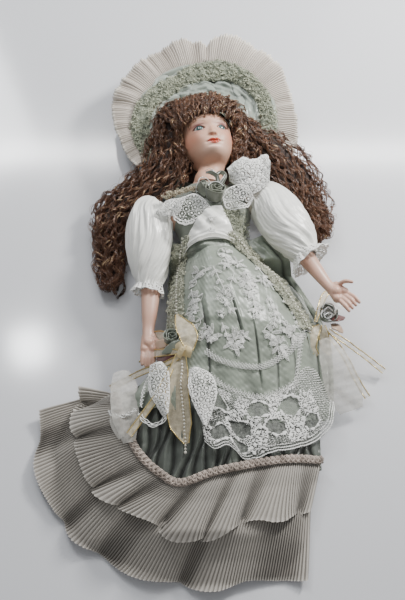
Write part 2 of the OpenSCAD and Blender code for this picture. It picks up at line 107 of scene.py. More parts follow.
def build_mesh(name, verts, faces):
    """A smooth mesh object from vertices in millimetres and faces with one number of sides."""
    verts = np.asarray(verts, float).reshape(-1, 3) * MM
    faces = np.asarray(faces, int)
    mesh = bpy.data.meshes.new(name)
    mesh.vertices.add(len(verts))
    mesh.vertices.foreach_set("co", verts.ravel())
    mesh.loops.add(faces.size)
    mesh.loops.foreach_set("vertex_index", faces.ravel())
    mesh.polygons.add(len(faces))
    mesh.polygons.foreach_set("loop_start", np.arange(0, faces.size, faces.shape[1]))
    mesh.update(calc_edges=True)
    mesh.validate()
    mesh.shade_smooth()
    piece = bpy.data.objects.new(name, mesh)
    bpy.context.collection.objects.link(piece)
    return piece


def grid_faces(rows, columns, closed=False):
    """Quads of a grid of points stored row by row; closed joins each row's ends."""
    r, c = np.meshgrid(np.arange(rows - 1), np.arange(columns if closed else columns - 1), indexing="ij")
    a = (r * columns + c).ravel()
    b = (r * columns + (c + 1) % columns).ravel()
    return np.stack([a, b, b + columns, a + columns], 1)


def paint(piece, name, values):
    """Stores one number or one colour for each vertex, for its material to read."""
    values = np.asarray(values, np.float32)
    if values.ndim == 1:
        layer = piece.data.attributes.new(name, "FLOAT", "POINT")
        layer.data.foreach_set("value", values)
    else:
        layer = piece.data.attributes.new(name, "FLOAT_COLOR", "POINT")
        opaque = np.column_stack([values, np.ones(len(values))]).astype(np.float32)
        layer.data.foreach_set("color", opaque.ravel())


def place(piece, body, slot, finish, *nodes, thickness=0):
    """Gives a piece its body, material, thickness in mm, and the CAD nodes it stands for; slot is not used.
    """
    piece.data.materials.append(finish.material)
    if thickness:
        solid = piece.modifiers.new("thickness", "SOLIDIFY")
        solid.thickness = thickness * MM
        solid.offset = 0
    if body:
        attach(piece, body)
    if nodes:
        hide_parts(*nodes)
    return piece


def join_parts(parts):
    """Vertices and faces of several (vertices, faces) pairs as one pair."""
    verts, faces, count = [], [], 0
    for v, f in parts:
        v = np.asarray(v, float).reshape(-1, 3)
        verts.append(v)
        faces.append(np.asarray(f, int) + count)
        count += len(v)
    return np.concatenate(verts), np.concatenate(faces)


def unit(v):
    return v / np.maximum(np.linalg.norm(v, axis=-1, keepdims=True), 1e-9)


def circle(count):
    """Equal angles once round, as a row."""
    return np.linspace(0, 2 * math.pi, count, endpoint=False)[None]


def grid_steps(rows, columns):
    """Steps from 0 to 1 across a grid, as a row, and down it, as a column."""
    return np.linspace(0, 1, columns)[None], np.linspace(0, 1, rows)[:, None]


def lengths(line):
    """How far along a line each of its points is."""
    return np.concatenate([[0], np.cumsum(np.linalg.norm(np.diff(line, axis=0), axis=1))])


def flat_frame(line):
    """Unit vectors along a flat line and to its side."""
    tangent = unit(np.gradient(line, axis=0))
    return tangent, np.stack([-tangent[:, 1], tangent[:, 0]], 1)


def frame_along(line):
    """Unit vectors across a line and out of it."""
    tangent = unit(np.gradient(line, axis=0))
    side = unit(np.cross(tangent, [0.0, 0.0, 1.0]))
    return side, np.cross(side, tangent)


def threads(lines, radius, sides=4, flat=1.0):
    """Round or flat threads along lines, an array of (threads, points, 3) in mm, as vertices and faces."""
    lines = np.asarray(lines, float)
    count, points, _ = lines.shape
    tangent = unit(np.gradient(lines, axis=1))
    side = np.empty_like(lines)
    side[:, 0] = unit(np.cross(tangent[:, 0], [0.31, 0.2, 0.93]))
    for k in range(1, points):
        s = side[:, k - 1]
        side[:, k] = unit(s - tangent[:, k] * np.sum(s * tangent[:, k], 1, keepdims=True))
    normal = np.cross(side, tangent)
    radius = np.broadcast_to(np.asarray(radius, float), (count, points))
    angle = np.arange(sides) * 2 * math.pi / sides
    ring = (lines[:, :, None] + radius[:, :, None, None]
            * (np.cos(angle)[:, None] * side[:, :, None]
               + flat * np.sin(angle)[:, None] * normal[:, :, None]))
    one = grid_faces(points, sides, closed=True)
    faces = (one[None] + (np.arange(count) * points * sides)[:, None, None]).reshape(-1, 4)
    return ring.reshape(-1, 3), faces


def curve(points, samples):
    """A smooth line through a few points, as samples by equal steps of its parameter."""
    p = np.asarray(points, float)
    n = len(p) - 1
    u = np.linspace(0, n - 1e-6, samples) if np.isscalar(samples) else np.asarray(samples) * (n - 1e-6)
    i = np.floor(u).astype(int)
    t = (u - i)[:, None]
    a, b, c, d = p[np.maximum(i - 1, 0)], p[i], p[i + 1], p[np.minimum(i + 2, n)]
    return (0.5 * (2 * b + (c - a) * t + (2 * a - 5 * b + 4 * c - d) * t ** 2
                   + (3 * b - a - 3 * c + d) * t ** 3))


def even(points, samples):
    """A smooth line through a few points, with samples evenly spaced along its length."""
    fine = curve(points, 40 * len(points))
    length = lengths(fine)
    at = np.linspace(0, length[-1], samples)
    return np.stack([np.interp(at, length, fine[:, k]) for k in range(fine.shape[1])], 1)


def step(low, high, x):
    """A smooth change from 0 where x is low to 1 where it is high."""
    t = np.clip((x - low) / (high - low), 0, 1)
    return t * t * (3 - 2 * t)


def hump(x, y, cx, cy, sx, sy):
    """A rounded mound, 1 high, about (cx, cy), with half widths sx and sy."""
    return np.exp(-((x - cx) / sx) ** 2 - ((y - cy) / sy) ** 2)


_waves = rng.normal(size=(24, 3))
_phases = rng.uniform(0, FULL_TURN, 24)


def ripple(p, size, seed=0):
    """Smooth noise from -1 to 1 over points in mm, with features about size mm across."""
    total = 0
    for k in range(8):
        w = _waves[(k + seed * 5) % 24] * 1.6 / size * (1 + 0.25 * k)
        total = total + np.sin(np.asarray(p) @ w + _phases[(k + seed * 3) % 24]) / (1 + 0.25 * k)
    return total / 3.2


# ---------- finishes ----------

# Pairs of bands that the wave texture draws in a length of one over its scale.
WAVE_PAIRS = 3.183


class Finish:
    """A procedural material: a Principled shader with named steps that add colour, weave and bump."""

    def __init__(self, name, colour, rough=0.6, **sockets):
        self.material = bpy.data.materials.new(name)
        self.material.use_nodes = True
        self.nodes = self.material.node_tree.nodes
        self.links = self.material.node_tree.links
        self.shader = self.nodes["Principled BSDF"]
        self.shader.inputs["Base Color"].default_value = (*colour, 1)
        self.shader.inputs["Roughness"].default_value = rough
        for socket, value in sockets.items():
            self.shader.inputs[socket.replace("_", " ")].default_value = value
        self.colour = None
        self.start = (*colour, 1)
        self.place = self.nodes.new("ShaderNodeTexCoord").outputs["Object"]

    def link(self, a, b):
        self.links.new(a, b)

    def noise(self, scale, detail=3.0, stretch=None):
        """Noise with features about 1/scale metres across."""
        n = self.nodes.new("ShaderNodeTexNoise")
        n.inputs["Scale"].default_value = scale
        n.inputs["Detail"].default_value = detail
        n.inputs["Roughness"].default_value = 0.55
        self.link(self.stretched(stretch), n.inputs["Vector"])
        return n.outputs["Fac"]

    def stretched(self, stretch):
        if stretch is None:
            return self.place
        m = self.nodes.new("ShaderNodeMapping")
        m.inputs["Scale"].default_value = stretch
        self.link(self.place, m.inputs["Vector"])
        return m.outputs["Vector"]

    def stripes(self, stripe_mm, direction):
        """Wavy light and dark stripes, each stripe_mm wide."""
        n = self.nodes.new("ShaderNodeTexWave")
        n.wave_type = "BANDS"
        n.bands_direction = direction
        n.inputs["Scale"].default_value = 1 / (stripe_mm * MM) / WAVE_PAIRS / 2
        n.inputs["Distortion"].default_value = 1.2
        n.inputs["Detail"].default_value = 2
        n.inputs["Detail Scale"].default_value = 3
        self.link(self.place, n.inputs["Vector"])
        return n.outputs["Fac"]

    def attribute(self, name, colour=False):
        n = self.nodes.new("ShaderNodeAttribute")
        n.attribute_name = name
        return n.outputs["Color" if colour else "Fac"]

    def ramp(self, value, low, high, a=0.0, b=1.0):
        n = self.nodes.new("ShaderNodeMapRange")
        n.inputs["From Min"].default_value = low
        n.inputs["From Max"].default_value = high
        n.inputs["To Min"].default_value = a
        n.inputs["To Max"].default_value = b
        self.link(value, n.inputs["Value"])
        return n.outputs["Result"]

    def tint(self, factor, colour):
        """Mixes a colour over the base colour by factor."""
        n = self.nodes.new("ShaderNodeMix")
        n.data_type = "RGBA"
        n.clamp_factor = True
        if isinstance(factor, float):
            n.inputs["Factor"].default_value = factor
        else:
            self.link(factor, n.inputs["Factor"])
        if self.colour is None:
            n.inputs["A"].default_value = self.start
        else:
            self.link(self.colour, n.inputs["A"])
        if isinstance(colour, tuple):
            n.inputs["B"].default_value = (*colour, 1)
        else:
            self.link(colour, n.inputs["B"])
        self.colour = n.outputs["Result"]
        self.link(self.colour, self.shader.inputs["Base Color"])

    def bump(self, height, strength, distance_mm):
        n = self.nodes.new("ShaderNodeBump")
        n.inputs["Strength"].default_value = strength
        n.inputs["Distance"].default_value = distance_mm * MM
        self.link(height, n.inputs["Height"])
        old = self.shader.inputs["Normal"].links
        if old:
            self.link(old[0].from_socket, n.inputs["Normal"])
        self.link(n.outputs["Normal"], self.shader.inputs["Normal"])

    def roughen(self, value):
        self.link(value, self.shader.inputs["Roughness"])

    def fade(self, value):
        self.link(value, self.shader.inputs["Alpha"])


# ---------- string of pearls ----------

# The string's route in metres, from the bow down the front of the skirt.
STRING_ROUTE = [(-0.017, -0.084, 0.0548), (-0.017, -0.089, 0.055), (-0.017, -0.094, 0.055),
                (-0.0175, -0.099, 0.0545), (-0.018, -0.104, 0.0535), (-0.018, -0.109, 0.0525),
                (-0.0175, -0.114, 0.051), (-0.017, -0.119, 0.050), (-0.0165, -0.124, 0.049),
                (-0.016, -0.129, 0.048), (-0.0155, -0.134, 0.047), (-0.015, -0.139, 0.046),
                (-0.015, -0.144, 0.045), (-0.0145, -0.149, 0.044), (-0.014, -0.154, 0.043),
                (-0.014, -0.159, 0.042), (-0.014, -0.163, 0.0415)]
STRING_LENGTH = 0.0802
STRING_DIAMETER = 0.0006
BEAD_R, BEAD_PITCH = 1.0, 2.9


def bead_mesh(name, centres, radius):
    """Small spheres at centres in mm, as one piece."""
    rows, around = 9, 12
    p = np.linspace(0.05, math.pi - 0.05, rows)[:, None]
    a = circle(around)
    shell = np.stack([np.sin(p) * np.cos(a), np.sin(p) * np.sin(a), np.cos(p) + 0 * a], -1).reshape(-1, 3)
    radius = np.broadcast_to(radius, len(centres))
    faces = grid_faces(rows, around, closed=True)
    return build_mesh(name, *join_parts([(c + r * shell, faces) for c, r in zip(centres, radius)]))


def pearl_finish():
    return Finish("glass_pearl", (0.80, 0.77, 0.68), rough=0.22, Coat_Weight=0.6, Coat_Roughness=0.08)


def make_pearl_string():
    line = bpy.data.curves.new("pearl_thread", "CURVE")
    line.dimensions = "3D"
    line.bevel_depth = STRING_DIAMETER / 2
    line.bevel_resolution = 2
    line.use_fill_caps = True
    spline = line.splines.new("POLY")
    spline.points.add(len(STRING_ROUTE) - 1)
    for point, at in zip(spline.points, STRING_ROUTE):
        point.co = (*at, 1)
    thread = bpy.data.objects.new("pearl_thread", line)
    bpy.context.collection.objects.link(thread)
    cotton = Finish("cotton_thread", (0.62, 0.58, 0.48), rough=0.8)
    place(thread, "torso", "pearl", cotton, "pearl_string")
    count = int(STRING_LENGTH / MM / BEAD_PITCH)
    beads = even(np.array(STRING_ROUTE) / MM, count + 1)[1:]
    pearls = bead_mesh("string_pearls", beads, np.where(np.arange(count) == count - 1, 1.3, BEAD_R))
    place(pearls, "torso", "pearl", pearl_finish())


# ---------- head ----------

NECK_X, NECK_Z = 5, 42
HEAD_Y, HEAD_LIFT = 142, 3
HEAD_TURN, HEAD_TILT = math.radians(9), math.radians(10)
NECK_LEAN = 3


def head_to_row(p):
    """From the head's own axes, face towards +Z and crown towards +Y, to the row frame, in mm."""
    p = np.asarray(p, float)
    x, y, z = p[..., 0], p[..., 1], p[..., 2] + HEAD_LIFT
    tilt = HEAD_TILT * step(-38, -24, y)
    x, y = x * np.cos(tilt) - (y + 24) * np.sin(tilt), (y + 24) * np.cos(tilt) + x * np.sin(tilt) - 24
    c, s = math.cos(HEAD_TURN), math.sin(HEAD_TURN)
    x = x + NECK_LEAN * step(-43, -24, p[..., 1])
    return np.stack([x * c + z * s + NECK_X, y + HEAD_Y, z * c - x * s + NECK_Z], -1)


# Rings of the head from crown to neck: height y, half width, front z, back z.
HEAD_RINGS = [(32, 0.3, -4, -5), (31.2, 6, 2.5, -10), (29.5, 11.5, 8.5, -15), (25.5, 17, 15.5, -22),
              (20, 20.8, 21.2, -27), (13.5, 22.4, 24.4, -30), (8, 22.9, 25.4, -31), (2, 23.1, 25.2, -31),
              (-4, 23.1, 24.9, -30), (-10, 22.5, 25.0, -28), (-15, 21.0, 24.9, -25), (-19, 19.0, 24.3, -22),
              (-22.5, 16.6, 23.0, -19.5), (-25.2, 14.3, 20.4, -18), (-27, 13.0, 16.4, -17),
              (-28.4, 12.3, 12.4, -16.5), (-30, 12.1, 10.0, -16.2), (-33, 12.2, 9.0, -15.6),
              (-38, 12.7, 9.6, -15.8), (-43, 13.0, 10.0, -16), (-47, 13.1, 10.0, -16)]
EYE_X, EYE_Y = 11.2, 1.4
EYE_HALF_W, LID_UP, LID_DOWN = 5.0, 2.5, 1.75
MOUTH_Y = -14.6
BISQUE = (0.62, 0.355, 0.245)
# How far red, green and blue light goes into the porcelain, in metres.
LIGHT_DEPTH = (0.004, 0.0015, 0.0008)


def face_relief(x, y):
    """How far the features stand out of the plain head, in mm."""
    z = 0.5 * hump(x, y, 0, 9, 17, 3.2)
    for side in (-1, 1):
        ex = side * EYE_X
        z = z - 2.3 * hump(x, y, ex, EYE_Y + 0.3, 7.2, 4.6) + 1.9 * hump(x, y, ex, EYE_Y, 5.4, 3.4)
        z = z + 0.35 * hump(x, y, ex, EYE_Y + 4.4, 5.6, 1.1) - 0.35 * hump(x, y, ex, EYE_Y + 3.3, 5.2, 0.5)
        z = z + 1.4 * hump(x, y, side * 12.5, -9, 7.5, 6.5)
        z = z + 1.4 * hump(x, y, side * 2.6, -7.0, 1.4, 1.5) - 0.9 * hump(x, y, side * 1.7, -8.4, 0.8, 0.6)
        z = z - 0.5 * hump(x, y, side * 6.9, MOUTH_Y - 0.6, 1.2, 1.2)
        z = z + 0.75 * hump(x, y, side * 1.9, MOUTH_Y + 1.5, 2.2, 1.1)
    bridge = step(7.5, -6.0, y) ** 1.3 * step(-9.7, -7.3, y)
    z = z + 2.9 * bridge * np.exp(-(x / (1.9 + 1.0 * step(3, -7, y))) ** 2)
    z = z + 0.7 * hump(x, y, 0, -6.2, 2.1, 1.8)
    z = z - 0.3 * hump(x, y, 0, -11, 0.8, 1.1)
    z = z + 1.3 * hump(x, y, 0, MOUTH_Y + 1.2, 5.2, 1.5) - 1.0 * hump(x, y, 0, MOUTH_Y - 0.1, 5.0, 0.45)
    z = z + 1.6 * hump(x, y, 0, MOUTH_Y - 1.9, 3.6, 1.4) - 0.9 * hump(x, y, 0, MOUTH_Y - 4.4, 4.6, 1.2)
    return z + 1.7 * hump(x, y, 0, -21, 5.6, 3.6)


def eyelids(x, side):
    """Places across an eye, from -1 to 1, and the heights of its upper and its lower lid there."""
    t = (x - side * EYE_X) / EYE_HALF_W
    lid = np.clip(1 - t * t, 0, 1)
    middle = EYE_Y + 0.35 * t * side
    return t, middle + LID_UP * lid ** 0.75, middle - LID_DOWN * lid ** 0.9


def eye_opening(x, y):
    """1 well inside an eye's almond opening and 0 outside it."""
    inside = 0
    for side in (-1, 1):
        t, upper, lower = eyelids(x, side)
        inside = inside + np.where(np.abs(t) < 1, step(-0.28, 0.28, np.minimum(upper - y, y - lower)), 0)
    return inside


def face_paint(x, y, front):
    """Painted colours of the bisque: blush, lips, brows and lashes, and a painted highlight that lightens the
    chin.
    """
    colour = np.broadcast_to(BISQUE, (len(x), 3)).copy()

    def lay(amount, tint):
        nonlocal colour
        amount = np.clip(amount * front, 0, 1)[:, None]
        colour = colour * (1 - amount) + np.array(tint) * amount

    lay(0.35 * hump(x, y, 0, 14, 16, 9), (0.70, 0.43, 0.31))
    # painted highlight: the chin is painted lighter to stand in for light falling on it
    lay(0.8 * hump(x, y, 0, -20, 12, 7), (0.84, 0.58, 0.46))
    for side in (-1, 1):
        lay(0.55 * hump(x, y, side * 18.5, -7, 7, 8), (0.62, 0.21, 0.13))
        lay(0.9 * hump(x, y, side * (EYE_X + 0.8), EYE_Y + 3.4, 6.2, 2.3), (0.23, 0.085, 0.09))
        lay(0.55 * hump(x, y, side * EYE_X, EYE_Y - 2.7, 5.2, 1.2), (0.40, 0.17, 0.15))
        lay(0.85 * hump(x, y, side * 1.8, -8.3, 0.85, 0.55), (0.42, 0.16, 0.12))
        lay(0.5 * hump(x, y, side * (EYE_X - 4.9), EYE_Y - 0.4, 0.8, 0.8), (0.62, 0.20, 0.16))
        t, upper, lower = eyelids(x, side)
        width = np.where(np.abs(t) < 1.12, 1, 0)
        lay(0.92 * width * np.exp(-((y - upper - 0.25) / 0.42) ** 2), (0.07, 0.035, 0.03))
        lay(0.6 * width * np.exp(-((y - lower + 0.15) / 0.28) ** 2), (0.20, 0.10, 0.09))
        lashes = 0.5 + 0.5 * np.cos((x - side * EYE_X) * 2 * math.pi / 0.95)
        lay(0.75 * lashes ** 2 * width * step(1.6, 0.2, y - upper) * (y > upper), (0.10, 0.05, 0.04))
        lay(0.7 * lashes ** 2 * width * step(1.1, 0.1, lower - y) * (y < lower), (0.13, 0.07, 0.06))
        b = (x * side - 11.6) / 7.4
        brow = EYE_Y + 8.6 - 2.6 * (b - 0.15) ** 2
        hairs = 0.7 + 0.3 * np.cos((x * side * 1.1 - y) * 9)
        lay(0.9 * hairs * np.exp(-((y - brow) / (0.62 - 0.25 * b)) ** 2) * step(1.05, 0.75, np.abs(b)),
            (0.30, 0.15, 0.09))
    ax = np.abs(x)
    half = 6.5
    edge = np.clip(1 - (ax / half) ** 2, 0, 1)
    top = MOUTH_Y + 2.5 * edge ** 0.8 - 0.9 * np.exp(-(x / 0.9) ** 2) + 0.35 * np.exp(-((ax - 2) / 1.1) ** 2)
    bottom = MOUTH_Y - 0.4 - 2.9 * np.clip(1 - (ax / 5.4) ** 2, 0, 1) ** 0.7
    lips = step(-0.22, 0.22, np.minimum(top - y, y - bottom)) * (ax < half)
    lay(0.95 * lips, (0.52, 0.062, 0.030))
    lay(0.8 * lips * np.exp(-((y - MOUTH_Y + 0.15) / 0.3) ** 2), (0.22, 0.035, 0.02))
    return colour, lips * front


def make_head():
    rings, around = 250, 280
    r = curve(HEAD_RINGS, rings)
    r[:, 1] = np.maximum(r[:, 1], 0.3)
    a = np.linspace(0, 2 * math.pi, around, endpoint=False)
    a = a + 0.22 * np.sin(2 * a)
    sin, cos = np.sin(a)[None], np.cos(a)[None]
    middle = -2.0
    front_z, back_z = r[:, 2:3] - middle, middle - r[:, 3:4]
    x = r[:, 1:2] * np.sign(sin) * np.abs(sin) ** 0.94
    z = middle + np.where(cos > 0, front_z * np.abs(cos) ** 0.88, -back_z * np.abs(cos) ** 0.95)
    y = np.broadcast_to(r[:, 0:1], x.shape).copy()
    front = step(2, 9, z) * np.ones_like(x)
    hole = eye_opening(x, y) * front
    z = z + face_relief(x, y) * front * step(-28.5, -25, y) - 4.2 * hole
    flat = np.stack([x, y, z], -1).reshape(-1, 3)
    piece = build_mesh("porcelain_head", head_to_row(flat), grid_faces(rings, around, closed=True))
    colour, lips = face_paint(x.ravel(), y.ravel(), front.ravel())
    paint(piece, "bisque", colour)
    paint(piece, "gloss", np.clip(lips, 0, 1))
    skin = Finish("painted_bisque", BISQUE, rough=0.5, Subsurface_Weight=0.08, Coat_Weight=0.06,
                  Coat_Roughness=0.3)
    skin.shader.inputs["Subsurface Radius"].default_value = LIGHT_DEPTH
    skin.tint(1.0, skin.attribute("bisque", colour=True))
    skin.tint(skin.ramp(skin.noise(900), 0.35, 0.75, 0, 0.12), (0.56, 0.28, 0.19))
    skin.roughen(skin.ramp(skin.attribute("gloss"), 0, 1, 0.5, 0.16))
    skin.bump(skin.noise(2600, 2), 0.12, 0.05)
    place(piece, "head", "porcelain", skin, "head")
    make_eyes()


def make_eyes():
    radius, iris_r, pupil_r = 6.4, 2.75, 1.25
    glass = Finish("eye_glass", (0.8, 0.8, 0.78), rough=0.06, Coat_Weight=1.0, Coat_Roughness=0.02)
    glass.tint(1.0, glass.attribute("iris", colour=True))
    for side, name in ((-1, "right_eye"), (1, "left_eye")):
        rows, around = 70, 72
        p = np.linspace(0, math.pi, rows)[:, None]
        a = circle(around)
        x, y, z = np.sin(p) * np.cos(a), np.sin(p) * np.sin(a), np.cos(p) * np.ones_like(a)
        off = np.hypot(x, y) * radius
        bulge = 0.45 * np.where(z > 0, np.clip(1 - (off / 3.4) ** 2, 0, 1), 0)
        ball = np.stack([x, y, z], -1).reshape(-1, 3) * (radius + bulge.reshape(-1, 1))
        look = math.radians(21) * side
        ball[:, 0], ball[:, 2] = (ball[:, 0] * math.cos(look) + ball[:, 2] * math.sin(look),
                                  ball[:, 2] * math.cos(look) - ball[:, 0] * math.sin(look))
        ball = ball + [side * (EYE_X - 2.7), EYE_Y + 0.2, 15.9]
        faces = grid_faces(rows, around, closed=True)
        piece = build_mesh("glass_eye_" + name[:-4], head_to_row(ball), faces)
        d = off.ravel()
        ang = np.arctan2(y, x).ravel()
        rays = 0.5 + 0.5 * np.sin(ang * 19 + 2 * np.sin(ang * 7))
        white = np.array([0.50, 0.49, 0.47])
        iris = np.array([0.03, 0.085, 0.09])[None] + rays[:, None] * np.array([0.035, 0.08, 0.08])[None]
        inner = step(2.2, pupil_r, d)[:, None]
        iris = iris * (1 - 0.4 * inner) + np.array([0.16, 0.22, 0.16]) * 0.4 * inner
        rim = step(iris_r - 0.7, iris_r, d)[:, None]
        iris = iris * (1 - 0.75 * rim) + np.array([0.02, 0.05, 0.06]) * 0.75 * rim
        mix = step(iris_r + 0.15, iris_r - 0.1, d)[:, None]
        colour = white * (1 - mix) + iris * mix
        dark = step(pupil_r + 0.12, pupil_r - 0.12, d)[:, None]
        colour = colour * (1 - dark) + np.array([0.004, 0.004, 0.005]) * dark
        colour[(z < 0).ravel()] = white
        paint(piece, "iris", colour)
        place(piece, "head", "eye_glass", glass, name)


# ---------- hair ----------

# Cross-sections of each fall of hair from the parting to its tip: outer edge, then inner edge.
RIGHT_FALL = [((-15, 188, 54), (4, 180, 62)), ((-36, 183, 49), (-10, 166, 60)),
              ((-48, 170, 42), (-19, 150, 55)), ((-51, 150, 40), (-19, 132, 51)),
              ((-58, 125, 35), (-17, 110, 48)), ((-75, 108, 26), (-24, 92, 46)),
              ((-97, 98, 15), (-49, 71, 37)), ((-103, 80, 11), (-67, 60, 25)),
              ((-101, 55, 10), (-72, 45, 14)), ((-97, 30, 8), (-71, 24, 10)), ((-93, 6, 6), (-76, 0, 6))]
LEFT_FALL = [((21, 186, 54), (8, 178, 62)), ((34, 176, 49), (26, 165, 57)), ((54, 167, 43), (32, 146, 54)),
             ((74, 156, 37), (33, 132, 50)), ((92, 146, 29), (36, 119, 46)), ((105, 132, 22), (52, 106, 38)),
             ((113, 113, 17), (70, 90, 26)), ((119, 96, 14), (86, 74, 19)), ((121, 80, 11), (98, 58, 13)),
             ((116, 62, 8), (106, 50, 8))]


def fall_point(sections, s, v, depth, bulge):
    """Points in a fall: s along it, v from its outer to its inner edge, depth in mm under its rounded top."""
    outer = curve([a for a, _ in sections], s)
    inner = curve([b for _, b in sections], s)
    v = np.asarray(v)[:, None]
    p = outer + (inner - outer) * v
    p[:, 2] += (bulge * 4 * v * (1 - v))[:, 0] - depth
    return p


def curly_locks(spines, radius, pitch, strands, spread, thick):
    """Fine curly hair about spines, an array of (locks, points, 3): its lines, thickness and painted glint.
    """
    locks, points, _ = spines.shape
    tangent = unit(np.gradient(spines, axis=1))
    side = unit(np.cross(tangent, [0.05, 0.1, 1]))
    normal = np.cross(side, tangent)
    length = np.concatenate([np.zeros((locks, 1)),
                             np.cumsum(np.linalg.norm(np.diff(spines, axis=1), axis=2), 1)], 1)
    hand = rng.choice([-1, 1], (locks, 1))
    start = rng.uniform(0, FULL_TURN, (locks, 1))
    wobble = 0.9 * np.sin(length / rng.uniform(7, 14, (locks, 1)) + rng.uniform(0, FULL_TURN, (locks, 1)))
    angle = hand * (2 * math.pi * length / pitch[:, None]) + start + wobble
    u = np.linspace(0, 1, points)[None]
    swell = 0.75 + 0.35 * np.sin(length / 6.5 + start)
    r = radius[:, None] * swell * (0.4 + 0.6 * step(0, 0.1, u)) * (1 - 0.35 * step(0.8, 1, u))
    lines, shines = [], []
    for _ in range(strands):
        own = rng.uniform(0, FULL_TURN, (locks, 1))
        loose = spread * rng.uniform(0.3, 1.5, (locks, 1))
        a = (angle + rng.normal(0, 0.35, (locks, 1))
             + 0.5 * np.sin(length / rng.uniform(3, 8, (locks, 1)) + own))
        rr = (r * rng.uniform(0.6, 1.25, (locks, 1))
              + loose * np.sin(length / rng.uniform(2.2, 5, (locks, 1)) + 2 * own))
        drift = (loose[..., None]
                 * (np.cos(own + length / 9)[..., None] * side
                    + np.sin(own * 1.7 + length / 7)[..., None] * normal))
        lines.append(spines + rr[..., None] * (np.cos(a)[..., None] * side + np.sin(a)[..., None] * normal)
                     + drift)
        # painted highlight: glints on the turns of each curl that face up
        shines.append(step(0.35, 0.95, np.sin(a)) * step(-0.2, 0.6, np.sin(length / 11 + own)))
    lines, shines = np.concatenate(lines), np.concatenate(shines)
    count = len(lines)
    thickness = (thick * rng.uniform(0.7, 1.25, (count, 1))
                 * (1 - 0.5 * np.broadcast_to(step(0.9, 1, u), (count, points))))
    return lines, thickness, shines * rng.uniform(0, 1, (count, 1)) ** 1.5


def hair_mesh(name, batches):
    """One piece from batches of lines, with a random tone for each strand and a painted highlight where the
    hair catches the light.
    """
    sides = 3
    parts, tints = [], []
    for lines, thickness, shine in batches:
        parts.append(threads(lines, thickness, sides))
        shade = rng.beta(1.3, 3.0, (len(lines), 1)) * 0.42
        # painted highlight: glints show only in patches; shade here is each strand's random tone, not shading
        lit = step(0.0, 0.7, ripple(lines, 9, 12))
        tints.append(np.repeat(np.clip(shade + 1.45 * shine * lit, 0, 1).ravel(), sides))
    verts, faces = join_parts(parts)
    verts[:, 2] = np.maximum(verts[:, 2], 0.4)
    piece = build_mesh(name, verts, faces)
    paint(piece, "tint", np.clip(np.concatenate(tints), 0, 1))
    return piece


def fall_curls(sections, locks, bulge, low, high, size):
    """Locks strewn through a fall between two fractions of its length, looser and bigger towards its tip."""
    spines, radius, pitch = [], [], []
    for _ in range(locks):
        start = rng.uniform(low, high - 0.1)
        end = min(start + rng.uniform(0.16, 0.34), 1)
        s = np.linspace(start, end, 48)
        v0 = rng.uniform(-0.02, 1.02)
        v = v0 + 0.09 * np.sin(s * rng.uniform(8, 18) + rng.uniform(0, FULL_TURN))
        rng.normal()  # not used: it keeps every later random number as it was
        spines.append(fall_point(sections, s, np.clip(v, -0.05, 1.05), rng.uniform(-1.2, 4.2), bulge))
        grown = 1 + 0.9 * step(0.45, 0.9, start)
        radius.append(size * rng.uniform(0.7, 1.5) * grown)
        pitch.append(rng.uniform(8, 14) * (0.8 + 0.5 * grown))
    return curly_locks(np.array(spines), np.array(radius), np.array(pitch), 6, 0.6, 0.27)


def frizz(sections, count, bulge, low, high):
    """Loose single hairs that stand off the locks in loops."""
    lines = []
    for _ in range(count):
        s = np.linspace(0, 1, 40) * rng.uniform(0.03, 0.09) + rng.uniform(low, high)
        v = np.full(40, rng.choice([0.0, 1.0, rng.uniform(0, 1)]))
        p = fall_point(sections, np.clip(s, 0, 1), v, -1.5, bulge)
        turn = np.linspace(0, rng.uniform(4, 9), 40) + rng.uniform(0, FULL_TURN)
        grow = rng.uniform(2.5, 5.5) * np.sin(np.linspace(0.1, 3.0, 40))
        p[:, 0] += grow * np.cos(turn)
        p[:, 1] += grow * np.sin(turn)
        p[:, 2] += np.abs(grow) * 0.3
        lines.append(p)
    # the loose hairs carry a small, even painted glint
    return np.array(lines), np.full((count, 1), 0.13), np.full((count, 40), 0.25)


def fall_core(name, sections, bulge, finish, *nodes):
    """A dark bumpy mass under the curls, closed against the surface below."""
    rows, columns = 90, 30
    s = np.repeat(np.linspace(0.02, 0.97, rows), columns)
    v = np.tile(np.linspace(0.1, 0.9, columns), rows)
    top = fall_point(sections, s, v, 3.6, bulge)
    top[:, 2] += 1.5 * ripple(top, 7, 1)
    drop = np.clip((2 * v - 1) ** 4, 0, 1) * np.minimum(9, np.maximum(top[:, 2] - 3, 0))
    top[:, 2] = np.maximum(top[:, 2] - drop, 2.2)
    piece = build_mesh(name, top, grid_faces(rows, columns))
    paint(piece, "tint", np.zeros(rows * columns))
    piece.data.materials.append(finish.material)
    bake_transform(piece)
    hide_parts(*nodes)


def head_hair_lines():
    """Locks over the crown of the head and the curly fringe on the forehead."""
    top = [(-42, 176, 46), (-27, 184, 51), (-10, 189, 53), (6, 190, 54), (22, 186, 52), (34, 176, 49),
           (39, 163, 47)]
    low = [(-22, 142, 60), (-17.5, 147, 65), (-9.5, 152, 69.5), (4, 156, 71.5), (14, 158.3, 71),
           (22.5, 157.5, 67), (28, 150, 60)]
    spines = []
    for k in range(150):
        a = np.clip(k / 149 + rng.normal(0, 0.02), 0, 1)
        start = curve(top, [a * 0.999])[0] + [rng.normal(0, 2), rng.normal(0, 1.5), rng.uniform(-1, 1)]
        end = (curve(low, [np.clip(a + rng.normal(0, 0.06), 0, 0.999)])[0]
               + [rng.normal(0, 1.5), rng.uniform(-4.5, 8), 0.3])
        u = np.linspace(0, 1, 38)[:, None]
        p = start + (end - start) * u
        p[:, 2] += 8.0 * (4 * u * (1 - u))[:, 0] ** 0.8 * rng.uniform(0.7, 1.1)
        p[:, 0] += 1.6 * np.sin(u[:, 0] * rng.uniform(3, 8) + rng.uniform(0, FULL_TURN))
        spines.append(p)
    spines = np.array(spines)
    n = len(spines)
    return curly_locks(spines, rng.uniform(0.7, 1.6, n), rng.uniform(8, 15, n), 6, 0.55, 0.24)


